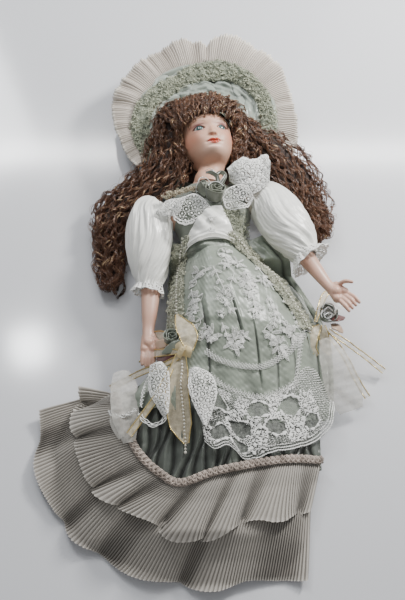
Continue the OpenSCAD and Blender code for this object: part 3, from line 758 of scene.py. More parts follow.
# The locks beside the face: their upper and lower ends, how far they spread, and how many they are.
TEMPLE_LOCKS = [((-22, 160, 56), (-19, 112, 48), 3.2, 26), ((33, 160, 55), (33, 112, 46), 4.2, 34),
                ((-17, 118, 50), (-20, 98, 47), 4.5, 14), ((36, 150, 48), (44, 108, 42), 5.0, 20),
                ((30, 170, 57), (35, 140, 52), 2.6, 16)]


def temple_lines():
    """Locks that hang beside the face."""
    spines = []
    for top, low, spread, count in TEMPLE_LOCKS:
        for _ in range(count):
            u = np.linspace(0, 1, 40)[:, None]
            shift = rng.normal(0, spread * 0.6)
            p = np.array(top, float) * (1 - u) + np.array(low, float) * u
            p[:, 0] += shift + 1.8 * np.sin(u[:, 0] * rng.uniform(3, 7) + rng.uniform(0, FULL_TURN))
            p[:, 2] += 1.5 * np.sin(math.pi * u[:, 0]) + rng.normal(0, 1.2)
            p[:, 1] += rng.normal(0, 2.5)
            spines.append(p)
    n = len(spines)
    return curly_locks(np.array(spines), rng.uniform(1.0, 2.2, n), rng.uniform(7, 13, n), 6, 0.6, 0.24)


def make_hair_ground(finish):
    """Dark bumpy hair behind the face and under the crown's locks."""
    rows, around = 40, 120
    r = np.linspace(0.05, 1, rows)[:, None]
    a = circle(around)
    x, y, z = 8 + 38 * r * np.cos(a), 136 + 37 * r * np.sin(a), 42 - 7 * r ** 2
    disc = np.stack(np.broadcast_arrays(x, y, z), -1)
    flat = disc.reshape(-1, 3)
    flat = flat + [0, 0, 1] * (1.2 * ripple(flat, 5, 3))[:, None]
    nape = build_mesh("nape_hair", flat, grid_faces(rows, around, closed=True))
    paint(nape, "tint", np.zeros(len(flat)))
    place(nape, "head", "hair", finish)
    rows, columns = 30, 90
    top = even([(-44, 172, 44), (-28, 183, 49), (-10, 188, 51), (6, 189, 52), (22, 185, 50), (34, 175, 47),
                (40, 160, 45)], columns)
    low = even([(-21, 146, 59), (-14, 151, 64), (-7, 155, 68), (4, 157.5, 70), (14, 159.5, 69.5),
                (22, 159, 65.5), (28, 152, 58)], columns)
    t = np.linspace(0, 1, rows)[:, None, None]
    crown = top[None] * (1 - t) + low[None] * t
    crown[..., 2] += 5.6 * (4 * t * (1 - t))[..., 0] ** 0.8
    crown = crown.reshape(-1, 3)
    crown[:, 2] += 0.9 * ripple(crown, 4, 1)
    piece = build_mesh("crown_hair_ground", crown, grid_faces(rows, columns))
    paint(piece, "tint", np.zeros(len(crown)))
    place(piece, "head", "hair", finish)


def make_hair_cap(finish):
    """The wig's base: a bumpy skin over the back, top and sides of the head."""
    rows, around = 120, 160
    r = curve(HEAD_RINGS, rows)
    a = circle(around)
    grow = 2.0
    x = (np.maximum(r[:, 1:2], 0.3) + grow) * np.sin(a)
    z = -2 + np.where(np.cos(a) > 0, (r[:, 2:3] + 2 + grow) * np.cos(a), (-2 - r[:, 3:4] + grow) * np.cos(a))
    y = np.broadcast_to(r[:, 0:1] + grow * step(20, 32, r[:, 0:1]), x.shape)
    p = np.stack([x, y, z], -1).reshape(-1, 3)
    p = p + 0.5 * ripple(p, 5, 2)[:, None] * unit(p)
    faces = grid_faces(rows, around, closed=True)
    centre = p[faces].mean(1)
    hairline = 17
    keep = (centre[:, 1] > -24) & ((centre[:, 2] < 3.5) | (centre[:, 1] > hairline))
    piece = build_mesh("wig_base", head_to_row(p), faces[keep])
    paint(piece, "tint", np.zeros(len(p)))
    place(piece, "head", "hair", finish, "wig_cap", "fringe")


def make_hair():
    finish = Finish("auburn_curls", (0.098, 0.047, 0.029), rough=0.31, Specular_IOR_Level=0.6)
    finish.tint(finish.ramp(finish.noise(60), 0.35, 0.7, 0, 0.6), (0.135, 0.058, 0.033))
    tint = finish.attribute("tint")
    # painted highlight: the tint lightens each strand by its own random tone, and turns its painted glints
    # gold
    finish.tint(finish.ramp(tint, 0, 0.6, 0, 0.75), (0.38, 0.20, 0.11))
    finish.tint(finish.ramp(tint, 0.5, 0.95), (0.95, 0.70, 0.42))
    # painted shade: the hair under and behind the curls is the same brown, darkened for the shade there
    core = Finish("shaded_hair", (0.030, 0.016, 0.011), rough=0.75)
    make_hair_cap(core)
    make_hair_ground(core)
    for name, batch in (("crown_curls", head_hair_lines()), ("temple_curls", temple_lines())):
        place(hair_mesh(name, [batch]), "head", "hair", finish)
    for name, sections, bulge, side_node, long_node in (
            ("right", RIGHT_FALL, 7, "right_side_curls", "right_long_curls"),
            ("left", LEFT_FALL, 7, "left_side_curls", "left_long_curls")):
        fall_core(name + "_hair_core", sections, bulge, core, side_node, long_node)
        batches = [fall_curls(sections, 112, bulge, 0.0, 1.0, 1.9), frizz(sections, 90, bulge, 0.05, 0.95)]
        piece = hair_mesh(name + "_curls", batches)
        piece.data.materials.append(finish.material)
        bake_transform(piece)


# ---------- cloths and trims that several pieces share ----------

def sage_satin(name="sage_satin", colour=(0.40, 0.44, 0.39)):
    """Shiny grey-green satin with fine creases."""
    satin = Finish(name, colour, rough=0.34, Sheen_Weight=0.25, Specular_IOR_Level=0.6)
    satin.tint(satin.ramp(satin.noise(45, 4), 0.4, 0.7, 0, 0.35), tuple(c * 0.62 for c in colour))
    satin.tint(satin.attribute("shade"), tuple(c * 0.12 for c in colour))
    satin.bump(satin.noise(240, 4, stretch=(1, 0.35, 1)), 0.5, 0.5)
    satin.bump(satin.noise(3200, 2), 0.15, 0.05)
    return satin


def chiffon(name, colour, deep):
    """Thin matt cloth for pleated frills; shade paints shade into the depth of its folds, and pale lifts its
    hem and, on the skirt's frills, the pleats' crests as painted highlight.
    """
    cloth = Finish(name, colour, rough=0.75, Sheen_Weight=0.15)
    cloth.tint(cloth.ramp(cloth.noise(70, 4), 0.35, 0.75, 0, 0.35), tuple(c * 0.8 for c in colour))
    cloth.tint(cloth.attribute("shade"), deep)
    cloth.tint(cloth.attribute("pale"), tuple(min(c * 1.25 + 0.06, 0.85) for c in colour))
    cloth.bump(cloth.noise(1500, 3), 0.3, 0.12)
    return cloth


def yarn(name, light, dark):
    """Looped yarn: tint 0 is the light colour and 1 the dark one."""
    thread = Finish(name, light, rough=0.7, Sheen_Weight=0.3)
    thread.tint(thread.attribute("tint"), dark)
    thread.bump(thread.noise(2400, 2), 0.4, 0.1)
    return thread


LOOP_POINTS, LOOP_SIDES = 9, 4


def popcorn(centres, normals, size, thick):
    """Small closed loops of yarn that stand on a surface, as vertices and faces."""
    n = len(centres)
    turn = np.linspace(0, 2 * math.pi, LOOP_POINTS)[None, :, None]
    u = unit(np.cross(normals, rng.normal(size=(n, 3))))
    lean = rng.uniform(0.15, 1, (n, 1))
    v = unit(normals * lean + np.cross(normals, u) * (1.1 - lean) * rng.choice([-1, 1], (n, 1)))
    r = (size * rng.uniform(0.65, 1.3, n))[:, None, None]
    lines = centres[:, None] + r * (np.cos(turn) * u[:, None] + 0.9 * (1 + np.sin(turn)) * v[:, None])
    return threads(lines, thick, LOOP_SIDES)


def loop_tints(count, dark_share):
    """One random yarn tint for each loop, repeated for its vertices."""
    tint = np.where(rng.random(count) < dark_share, rng.uniform(0.6, 1, count), rng.uniform(0, 0.3, count))
    return np.repeat(tint, LOOP_POINTS * LOOP_SIDES)


def popcorn_piece(name, centres, up, size, thick, dark_share, body, slot, finish, *nodes):
    """Popcorn loops of two shades at centres in mm, standing up along one direction."""
    verts, faces = popcorn(centres, np.broadcast_to(up, (len(centres), 3)), size, thick)
    loops = build_mesh(name, verts, faces)
    paint(loops, "tint", loop_tints(len(centres), dark_share))
    place(loops, body, slot, finish, *nodes)


# ---------- hat ----------

HAT_X, HAT_Y = 3, 177
# Where the trim starts and ends round the hat, in degrees from +X.
HAT_FROM, HAT_TO = -41, 221
# The frill's edge, and the popcorn ring's two edges: angle in degrees from +X, then radius in mm.
FRILL_EDGE = [(-41, 91), (-19, 91), (-8, 88), (8, 86), (21, 88), (32, 92), (50, 97), (59, 97), (72, 100),
              (79, 99), (84, 96), (89, 88), (94, 92), (104, 97), (112, 96), (126, 92), (142, 91), (158, 93),
              (166, 94), (174, 90), (194, 84), (211, 84), (221, 85)]
RING_INNER = [(-41, 53), (1, 52), (34, 52), (60, 51), (81, 46), (104, 44), (120, 43), (145, 42), (160, 49),
              (180, 52), (221, 58)]
RING_OUTER = [(-41, 68), (1, 68), (20, 67), (60, 70), (80, 70), (104, 65), (119, 60), (140, 62), (154, 66),
              (172, 70), (221, 74)]


def around_hat(table, angle):
    return np.interp(np.degrees(angle), *zip(*table))


def hat_point(angle, r, z):
    return np.stack(np.broadcast_arrays(HAT_X + r * np.cos(angle), HAT_Y + r * np.sin(angle), z), -1)


def hat_lift(angle, r):
    """The brim curls up towards the viewer above the head."""
    return 8 * step(0.15, 0.95, np.sin(angle)) * step(55, 95, r)


def make_hat_frill():
    columns, rows = 1900, 16
    a = np.radians(np.linspace(HAT_FROM, HAT_TO, columns))[None]
    t = np.linspace(0, 1, rows)[:, None]
    edge = around_hat(FRILL_EDGE, a)
    on_edge = hat_point(a[0], 80, 0)
    flute = ripple(on_edge, 13, 3)[None]
    fine = ripple(on_edge, 4.5, 4)[None]
    phase = a * 250 + 2.2 * flute + 1.5 * fine
    pleat = np.sin(phase) + 0.35 * np.sin(2 * phase + 1)
    r = 63 + (edge - 63) * t + (0.55 * pleat + 0.9 * fine) * t ** 3
    z = (31.5 + hat_lift(a, r) + 5.0 * flute * t + 1.9 * fine * t + 0.75 * pleat * (0.35 + 0.65 * t)
         + 2.0 * np.sin(math.pi * t) + 0.9 * step(0.93, 1, t) * np.sin(phase * 0.5))
    piece = build_mesh("hat_frill_chiffon", hat_point(a, r, z), grid_faces(rows, columns))
    deep = (step(0.1, -1.1, pleat) * (0.5 + 0.3 * (1 - t)) + 0.45 * step(0.35, 0, t)
            + 0.35 * step(0, -0.7, flute))
    paint(piece, "shade", np.clip(deep, 0, 0.85).ravel())
    pale = step(0.88, 0.95, t) * (0.4 + 0.6 * step(-0.3, 0.5, fine))
    paint(piece, "pale", pale.ravel())
    cream = chiffon("cream_chiffon", (0.66, 0.60, 0.53), (0.24, 0.195, 0.155))
    place(piece, "head", "cream_frill", cream, "hat_frill", thickness=0.3)


def make_hat_lining():
    columns, rows = 460, 62
    a = np.radians(np.linspace(HAT_FROM - 8, HAT_TO + 8, columns))[None]
    r = np.linspace(22, 69.5, rows)[:, None]
    along = a * 48
    flow = np.stack(np.broadcast_arrays(along * 0.33 + r * 0.5, r - along * 0.35, 0 * a), -1)
    fold = ripple(flow, 7, 5) + 0.6 * ripple(flow * 2.1, 7, 6)
    crease = np.abs(ripple(flow, 11, 7))
    z = 33 + hat_lift(a, r) * 0.8 + 1.5 * fold + 2.2 * np.sqrt(crease) - 2 * step(66, 69.5, r)
    piece = build_mesh("hat_lining", hat_point(a, r, z), grid_faces(rows, columns))
    dark = 0.75 * step(0.10, 0.0, crease) + 0.4 * step(0, -0.9, fold)
    paint(piece, "shade", np.clip(dark, 0, 0.9).ravel())
    place(piece, "head", "sage_satin", sage_satin("hat_satin", (0.30, 0.34, 0.29)), thickness=0.3)


def make_hat_braid():
    columns, rows = 460, 14
    a = np.radians(np.linspace(HAT_FROM, HAT_TO, columns))[None]
    v = np.linspace(0, 1, rows)[:, None]
    inner, outer = around_hat(RING_INNER, a), around_hat(RING_OUTER, a)
    r = inner + (outer - inner) * v
    base = hat_point(a, r, 34.5 + hat_lift(a, r) + 2.6 * np.sin(math.pi * v) ** 0.6)
    base[..., 2] += 0.8 * ripple(base, 3, 1)
    piece_base = build_mesh("hat_braid_base", base, grid_faces(rows, columns))
    paint(piece_base, "tint", np.clip(0.8 + 0.2 * ripple(base, 4, 2), 0, 1).ravel())
    braid = yarn("sage_popcorn_yarn", (0.52, 0.54, 0.40), (0.075, 0.09, 0.06))
    count = 1500
    at_a = np.radians(rng.uniform(HAT_FROM, HAT_TO, count))
    at_v = rng.uniform(0, 1, count)
    share = (np.degrees(at_a) - HAT_FROM) / (HAT_TO - HAT_FROM)
    i = np.clip((share * (columns - 1)).astype(int), 0, columns - 1)
    j = np.clip((at_v * (rows - 1)).round().astype(int), 0, rows - 1)
    place(piece_base, "head", "sage_braid", braid)
    popcorn_piece("hat_popcorn_braid", base[j, i] - [0, 0, 0.4], [0, 0.1, 1.0], 1.15, 0.34, 0.22,
                  "head", "sage_braid", braid, "hat_braid")


def make_hat():
    make_hat_frill()
    make_hat_lining()
    make_hat_braid()


# ---------- the gown's shape ----------

# The gown lies like a low bell: pairs of y with the height of its ridge, and of y with the x where
# each side of it comes down, in mm.
RIDGE = [(-275, 12), (-262, 13), (-244, 22), (-226, 34), (-190, 40), (-150, 47), (-100, 57), (-50, 66),
         (0, 65), (26, 58)]
SPREAD_LEFT = [(-262, -62), (-230, -118), (-200, -136), (-150, -142), (-114, -122), (-92, -72), (-76, -50),
               (-20, -40), (26, -27)]
SPREAD_RIGHT = [(-262, 95), (-150, 108), (-110, 114), (-50, 118), (0, 94), (26, 56)]
RIDGE_X = 11
# The gown's least height, and the step between two layers of cloth.
FLAT_Z, LAYER = 12, 2


def bodice_face(x, y):
    """Height of the bodice's front over the table."""
    w = np.interp(y, [24, 35, 50, 65, 84], [25, 27, 31, 33, 31])
    f = np.interp(y, [24, 35, 50, 65, 84], [57.5, 57, 58.5, 58, 54])
    s = np.clip(np.abs(x - 8) / w, 0, 0.999)
    return 32 + (f - 32) * (1 - s ** 2.4) ** 0.55


def gown_face(x, y):
    """Height of the gown's outer face in mm; its top passes over the bodice."""
    edge = np.where(x < RIDGE_X, np.interp(y, *zip(*SPREAD_LEFT)), np.interp(y, *zip(*SPREAD_RIGHT)))
    s = np.clip(np.abs((x - RIDGE_X) / (edge - RIDGE_X)), 0, 1)
    bell = np.maximum(np.interp(y, *zip(*RIDGE)) * (1 - s * s) ** 0.85, FLAT_Z)
    return np.maximum(bell, step(16, 24, y) * (bodice_face(x, y) + 1.6))


def between(edges, columns, rows):
    """A grid of (x, y) through curves given from the top to the hem, each from the left to the right."""
    lines = np.stack([even(e, columns) for e in edges], 1)
    v = np.linspace(0, 1, rows)
    return np.stack([curve(line, v) for line in lines], 1)


def on_gown(xy, level=0.0, lift=0.0):
    """Points on the gown: level counts cloth layers down from the outermost, lift is in mm above it."""
    xy = np.asarray(xy, float)
    z = gown_face(xy[..., 0], xy[..., 1]) - level * LAYER + lift
    return np.concatenate([xy, np.maximum(z, 0.6)[..., None]], -1)


def pleated_frill(name, edges, level, count, flutes, depth, reach, sag):
    """A gathered band of knife pleats that opens into big flutes towards its hem."""
    columns, rows = count * 7, 30
    p = between(edges, columns, rows)
    u, t = grid_steps(rows, columns)
    top, hem = p[0], p[-1]
    lane = np.stack([u[0] * 40, 0 * u[0], 0 * u[0]], 1)
    slow, fine = ripple(lane, 5.5, 3)[None], ripple(lane, 1.1, 5)[None]
    turn = 2 * math.pi * flutes * u + 2.0 * slow
    phase = 2 * math.pi * count * (u + 0.004 * slow * t + 0.0012 * fine)
    pleat = np.sin(phase) + 0.3 * np.sin(2 * phase + 0.8)
    along = unit(np.gradient(p, axis=1))
    out = unit(hem - top)[None]
    swing = reach * t ** 1.6 * (np.sin(turn + 0.6) + 0.25 * fine)
    drop = 2.6 * t ** 3 * np.sin(turn + 2.2) + 0.5 * pleat * t ** 4 + 0.8 * fine * t ** 2
    xy = p + along * swing[..., None] + out * drop[..., None]
    points = on_gown(xy, level)
    points[..., 2] += (depth * t ** 1.4 * (0.5 + 0.5 * np.cos(turn)) - sag * t ** 2
                       + 0.85 * pleat * (0.25 + 0.75 * t ** 0.7) + 0.8 * fine * t
                       + 1.2 * np.sin(math.pi * np.clip(t * 2.2, 0, 1)))
    points[..., 2] = np.maximum(points[..., 2], 0.8 + 0.4 * pleat)
    piece = build_mesh(name, points, grid_faces(rows, columns))
    deep = (0.66 * step(0.2, -1.1, pleat) * (1 - 0.3 * t) + 0.55 * step(0.25, 0, t)
            + 0.8 * t ** 0.5 * step(0.1, -0.95, np.cos(turn)))
    paint(piece, "shade", np.clip(deep, 0, 0.92).ravel())
    # painted highlight: pale also lightens the crests of the pleats and of the hem band; the band itself is
    # the hem's own paler colour
    hem_band = step(0.925, 0.945, t) * (1 - 0.7 * step(0.955, 0.965, t) * step(0.985, 0.975, t))
    paint(piece, "pale", np.clip(hem_band * (0.75 + 0.25 * pleat) + 0.22 * step(0, 1, pleat), 0, 1).ravel())
    return piece


# The frills' edges in mm, each from the left of the picture to its right: where it is sewn, then its hem.
PETTICOAT = [[(-90, -96), (-96, -120), (-94, -146), (-86, -170), (-60, -195), (-30, -210), (0, -212),
              (30, -208), (60, -205), (90, -190)],
             [(-138, -108), (-141, -150), (-130, -190), (-100, -228), (-60, -252), (-30, -260), (10, -266),
              (36, -261), (62, -260), (87, -256)]]
UPPER_FRILL = [[(-76, -98), (-70, -122), (-60, -148), (-50, -165), (-34, -180), (-18, -188), (8, -180),
                (33, -174), (71, -164), (100, -158)],
               [(-104, -88), (-110, -124), (-101, -160), (-86, -192), (-45, -216), (-22, -231), (11, -230),
                (42, -215), (64, -214), (92, -199)]]


def make_frills():
    taupe = chiffon("taupe_chiffon", (0.44, 0.41, 0.365), (0.07, 0.06, 0.05))
    petticoat = pleated_frill("petticoat_pleats", PETTICOAT, 3.6, 128, 5, 5, 4, 2.5)
    place(petticoat, "torso", "cream_frill", taupe, "petticoat_frill")
    upper = pleated_frill("upper_frill_pleats", UPPER_FRILL, 1.2, 126, 8, 9, 6.5, 5)
    place(upper, "torso", "cream_frill", taupe, "upper_frill")
    make_frill_braid()


def make_frill_braid():
    """The looped gimp that covers the upper frill's seam."""
    line = even(UPPER_FRILL[0], 1500)
    length = lengths(line)
    tangent, side = flat_frame(line)
    strands = []
    for k in range(4):
        turn = 2 * math.pi * length / 4.4 + k * math.pi / 2
        width = 2.9 * (1 + 0.12 * ripple(on_gown(line), 6, k))
        xy = line + side * (width * np.sin(turn))[:, None] + tangent * (1.75 * np.cos(turn))[:, None]
        p = on_gown(xy, 0, 0.9)
        p[:, 2] += 0.9 * np.sin(turn * 2 + k) + 0.3 * (k % 2)
        strands.append(p)
    sides = 5
    verts, faces = threads(np.array(strands), 0.52, sides)
    piece = build_mesh("looped_gimp", verts, faces)
    tint = np.clip(0.3 + 0.5 * ripple(np.array(strands), 5, 6), 0, 1)
    paint(piece, "tint", np.repeat(tint, sides))
    beige = yarn("beige_gimp", (0.50, 0.42, 0.36), (0.20, 0.16, 0.13))
    place(piece, "torso", "beige_braid", beige, "frill_braid")


# ---------- satin skirts ----------

def satin_panel(name, edges, level, columns, rows, folds, crease):
    """A satin panel on the gown, with vertical folds given as (u, v top, v foot, width, height)."""
    p = between(edges, columns, rows)
    points = on_gown(p, level)
    u, v = grid_steps(rows, columns)
    lift, dark = np.zeros((rows, columns)), np.zeros((rows, columns))
    for fu, top, foot, width, height in folds:
        lane = fu + 0.012 * np.sin(9 * v + fu * 40)
        across = np.exp(-((u - lane) / width) ** 2) * step(top, top + 0.12, v) * step(foot, foot - 0.12, v)
        lift = lift + height * across
        if height < 0:
            dark = dark + 0.8 * across
    wave = ripple(points * [1, 0.35, 1], 8, 9) + 0.5 * ripple(points, 4, 10)
    points[..., 2] += lift + crease * wave
    piece = build_mesh(name, points, grid_faces(rows, columns))
    paint(piece, "shade", np.clip(dark + 0.35 * step(0, -1, wave), 0, 0.9).ravel())
    return piece


def make_underskirt():
    edges = [[(-74, -98), (-40, -112), (0, -120), (50, -124), (100, -120)],
             [(-80, -130), (-46, -150), (-6, -160), (46, -155), (100, -146)],
             [(-82, -140), (-60, -168), (-18, -197), (36, -182), (100, -166)]]
    folds = [(first + 0.047 * k + 0.012 * math.sin(5 * k), 0.05, 1.2, width, height)
             for first, width, height, count in ((0.02, 0.011, -3.6, 21), (0.045, 0.010, 2.2, 20))
             for k in range(count)]
    piece = satin_panel("underskirt_satin", edges, 2.4, 320, 44, folds, 0.8)
    satin = sage_satin("dark_sage_satin", (0.13, 0.145, 0.125))
    place(piece, "torso", "sage_satin", satin, "underskirt", thickness=0.3)


# The overskirt's panels, through lines across them from the waist to the hem, and their folds.
FRONT = [[(-16, 32), (-6, 31.5), (6, 33), (18, 35), (31, 37)],
         [(-21, -52), (0, -60), (30, -62), (60, -58), (88, -48)],
         [(-10, -106), (12, -128), (40, -137), (70, -134), (96, -124)]]
SIDES = {"right": [[(-28, 42), (-12, 33)], [(-31, 5), (-17, 0)], [(-34, -54), (-22.5, -52)],
                   [(-62, -122), (-22, -128)]],
         "left": [[(28, 36), (57, 50)], [(58, 0), (84, 14)], [(89.5, -48), (112, -46)],
                  [(97.5, -124), (112, -121)]]}
FRONT_FOLDS = [(0.50, 0.28, 0.56, 0.006, -2.6), (0.515, 0.26, 0.6, 0.014, 1.6),
               (0.60, 0.40, 0.80, 0.007, -1.8), (0.615, 0.4, 0.8, 0.014, 1.2),
               (0.36, 0.36, 0.50, 0.05, -1.0), (0.73, 0.45, 0.9, 0.008, -1.4),
               (0.22, 0.3, 0.9, 0.010, -0.9), (0.25, 0.3, 0.9, 0.02, 1.0),
               (0.85, 0.4, 0.8, 0.008, -1.0), (0.56, 0.72, 1.1, 0.03, -1.6),
               (0.72, 0.72, 1.1, 0.02, 1.8), (0.42, 0.75, 1.1, 0.02, 1.6)]
SIDE_FOLDS = [(0.3, 0, 1.1, 0.05, -1.5), (0.6, 0, 1.1, 0.07, 1.5), (0.8, 0, 1.1, 0.04, -1.5)]


def make_overskirt():
    satin = sage_satin("front_satin", (0.255, 0.29, 0.235))
    front = satin_panel("overskirt_front_satin", FRONT, 0.5, 220, 150, FRONT_FOLDS, 0.7)
    place(front, "torso", "sage_satin", satin, "overskirt_front", thickness=0.3)
    for side, edges in SIDES.items():
        panel = satin_panel(f"overskirt_{side}_satin", edges, 0.5, 60, 160, SIDE_FOLDS, 0.8)
        place(panel, "torso", "sage_satin", satin, f"overskirt_{side}_side", thickness=0.3)


# ---------- white lace ----------

THREAD_POINTS = 14


def petal_lines(x, y, angle, length, width, hatch):
    """A petal of lace: a closed outline with 2 * hatch slanting threads across it."""
    t = np.linspace(0, 2 * math.pi, THREAD_POINTS)
    ring = np.stack([length * 0.5 * (1 - np.cos(t)),
                     width * 0.5 * np.sin(t) * (0.6 + 0.4 * np.sin(t / 2) ** 2)], 1)
    lines = [ring]
    for k in range(2 * hatch):
        f = (k + 1) / (2 * hatch + 1)
        w = width * 0.45 * math.sin(math.pi * f) ** 0.7
        q = np.linspace(-1, 1, THREAD_POINTS)
        lines.append(np.stack([length * f + 0.18 * length * q, w * q], 1))
    c, s = math.cos(angle), math.sin(angle)
    turn = np.array([[c, s], [-s, c]])
    return [np.asarray(line) @ turn + [x, y] for line in lines]


def flower(x, y, size, petals, start, hatch):
    """A ragged lace bloom: long and short petals round a middle, with two curled threads about it."""
    lines = []
    for k in range(petals):
        a = start + 2 * math.pi * k / petals + rng.normal(0, 0.25)
        reach = size * rng.choice([0.6, 0.85, 1.2]) * rng.uniform(0.85, 1.1)
        lines += petal_lines(x + 0.12 * size * math.cos(a), y + 0.16 * size * math.sin(a), a, reach,
                             size * rng.uniform(0.26, 0.46), hatch)
        if k % 2:
            lines += petal_lines(x + 0.3 * size * math.cos(a + 0.5), y + 0.3 * size * math.sin(a + 0.5),
                                 a + 0.7, 0.5 * size, 0.24 * size, 1)
    for _ in range(2):
        a = rng.uniform(0, FULL_TURN)
        t = np.linspace(0, 1, THREAD_POINTS)
        r = size * (0.75 + 0.35 * t)
        turn = a + 2.6 * t ** 0.8
        curl = [x + r * np.cos(turn) * (1 - 0.3 * t), y + r * np.sin(turn) * (1 - 0.3 * t)]
        lines.append(np.stack(curl, 1))
    return lines


def spray(points, leaf, pairs):
    """A bent stem with leaves in pairs along it."""
    stem = curve(points, THREAD_POINTS)
    lines = [stem, stem + [0.35, 0.35]]
    for k in range(pairs):
        i = int((k + 0.7) / (pairs + 0.3) * (THREAD_POINTS - 2))
        d = stem[i + 1] - stem[i]
        a = math.atan2(d[1], d[0])
        for side in (-1, 1):
            lines += petal_lines(*stem[i], a + side * rng.uniform(0.5, 0.9), leaf * rng.uniform(0.7, 1.15),
                                 leaf * 0.42, 2)
    return lines


# The overskirt's lace in mm: a flower's x, y, size, petals, start and hatch, or a spray's points, leaf
# and pairs.
FRONT_LACE = [
    (20, 14, 8.5, 7, 0.4, 4), (21, 3, 6, 6, 0.1, 3), (-3, -5, 7.5, 5, 0.2, 4), (-9, -14, 5, 5, 0, 2),
    (31, 4, 6, 5, 0.9, 3), ([(9, -2), (13, -12), (18, -24)], 6, 2),
    ([(27, -8), (24, -18), (19, -28)], 6, 2), (19, -31, 9, 8, 0.3, 1),
    ([(19, -34), (22, -42), (27, -47)], 5, 2), (38, -14, 9.5, 7, 0.5, 4), (40, -24, 7, 6, 0.2, 3),
    ([(36, -2), (40, -10), (44, -20)], 6, 3), ([(42, -27), (45, -38), (46, -50)], 6.5, 4),
    (45, -40, 6, 6, 0, 3), (8, -67, 7, 7, 0.1, 3), (3, -62, 4.5, 5, 0.3, 2), (27, -72, 9, 8, 0.2, 4),
    ([(16, -56), (19, -63), (21, -71)], 5, 2), (34, -66, 5.5, 6, 0.4, 3), (65, -69, 10, 8, 0.3, 4),
    (58, -60, 7.5, 7, 0.2, 3), (78, -55, 9, 7, 0.6, 4), (87, -43, 7.5, 6, 0.5, 3), (71, -52, 7, 6, 0.1, 3),
    ([(64, -36), (62, -46), (60, -56)], 6.5, 3), ([(80, -28), (82, -36), (84, -46)], 6, 3),
    ([(56, -24), (60, -34), (66, -46)], 6, 3), (-8, -42, 7, 6, 0.2, 3), (-7, -54, 7, 6, 0.4, 3),
    (-5, -30, 6, 5, 0, 3), ([(-10, -20), (-8, -32), (-6, -44)], 5.5, 3), (-2, -66, 5.5, 6, 0.3, 2),
    (52, -8, 5.5, 5, 0, 3), ([(46, 8), (54, -4), (62, -16)], 5, 3), (72, -22, 5, 5, 0.2, 2),
    (16, -48, 4, 5, 0.2, 1),
]


def front_lace_lines():
    """The flowers and sprays of the overskirt's lace, as flat (x, y) lines in mm."""
    lines = []
    for motif in FRONT_LACE:
        lines += flower(*motif) if len(motif) == 6 else spray(*motif)
    return lines


def edge_lines(points, rows, pitch, amplitude):
    """A corded lace edge: rows of waved threads along a line."""
    pieces = 24
    line = even(points, (THREAD_POINTS - 1) * pieces + 1)
    length = lengths(line)
    tangent, side = flat_frame(line)
    out = []
    for k in range(rows):
        wave = amplitude * np.sin(2 * math.pi * length / pitch + k * 2.4) + (k - rows / 2) * 0.9
        whole = (line + side * wave[:, None]
                 + tangent * (0.8 * amplitude * np.cos(2 * math.pi * length / pitch + k * 2.4))[:, None])
        out += [whole[i * (THREAD_POINTS - 1):][:THREAD_POINTS] for i in range(pieces)]
    return out


# The heavy swag above the flounce.
SWAG = [(3, -79), (10, -85), (17, -88), (28, -91), (46, -91), (57, -86), (66, -78), (74, -71), (88, -51)]


def lace_threads(name, lines, lift, radius):
    """Threads laid on the gown, lift mm above it, along flat lines of THREAD_POINTS points."""
    p = on_gown(np.array(lines), 0, lift)
    p[..., 2] += 0.3 * ripple(p, 2, 4)
    verts, faces = threads(p, radius, 3)
    return build_mesh(name, verts, faces)


def white_lace():
    lace = Finish("white_lace_thread", (0.86, 0.86, 0.83), rough=0.6, Sheen_Weight=0.2)
    lace.tint(lace.ramp(lace.noise(400, 2), 0.4, 0.7, 0, 0.25), (0.62, 0.63, 0.59))
    lace.bump(lace.noise(3000, 2), 0.5, 0.1)
    return lace


def make_front_lace(lace):
    lines = front_lace_lines() + edge_lines(SWAG, 5, 3.1, 0.9)
    lines += edge_lines([(86, -55), (83, -75), (81, -90), (78, -106)], 3, 3.2, 1.2)
    lines += edge_lines([(6, -100), (16, -108), (30, -114), (47, -116), (62, -110), (76, -100), (86, -86)],
                        4, 3.6, 1.3)
    piece = lace_threads("front_lace_sprays", lines, 0.6, 0.2)
    place(piece, "torso", "white_lace", lace)


# ---------- cut lace: sheets with the holes left out ----------

def cut_sheet(name, points, keep, lace, body="torso", nodes=(), thickness=0.5):
    """A lace sheet from a grid of points, without the cells where keep is False."""
    rows, columns = points.shape[:2]
    faces = grid_faces(rows, columns)
    cell = keep[:-1, :-1] & keep[1:, 1:] & keep[1:, :-1] & keep[:-1, 1:]
    verts = points.reshape(-1, 3)
    used = np.zeros(len(verts), bool)
    faces = faces[cell.ravel()]
    used[faces.ravel()] = True
    index = np.cumsum(used) - 1
    piece = build_mesh(name, verts[used], index[faces])
    place(piece, body, "white_lace", lace, *nodes, thickness=thickness)


# Middle and half sizes of the flounce's corded windows, then middle and size of its dense motifs, in
# mm along the hem and up from it.
FLOUNCE_WINDOWS = [(16, 12, 8.5, 5.5), (37, 24, 10, 6.5), (33, 9.5, 7, 4.6), (60, 36, 11, 6),
                   (70, 20, 9, 6), (92, 32, 10, 7), (64, 51, 8, 5), (20, 38, 9, 6.5), (104, 14, 7, 5),
                   (8, 52, 8, 7)]
FLOUNCE_MOTIFS = [(2, 12, 10), (26, 16, 7.5), (49, 12, 10.5), (52, 27, 7), (86, 16, 12), (82, 42, 9),
                  (110, 26, 10), (46, 42, 8), (4, 32, 9), (30, 52, 7), (100, 50, 9), (74, 30, 6),
                  (36, 34, 6)]


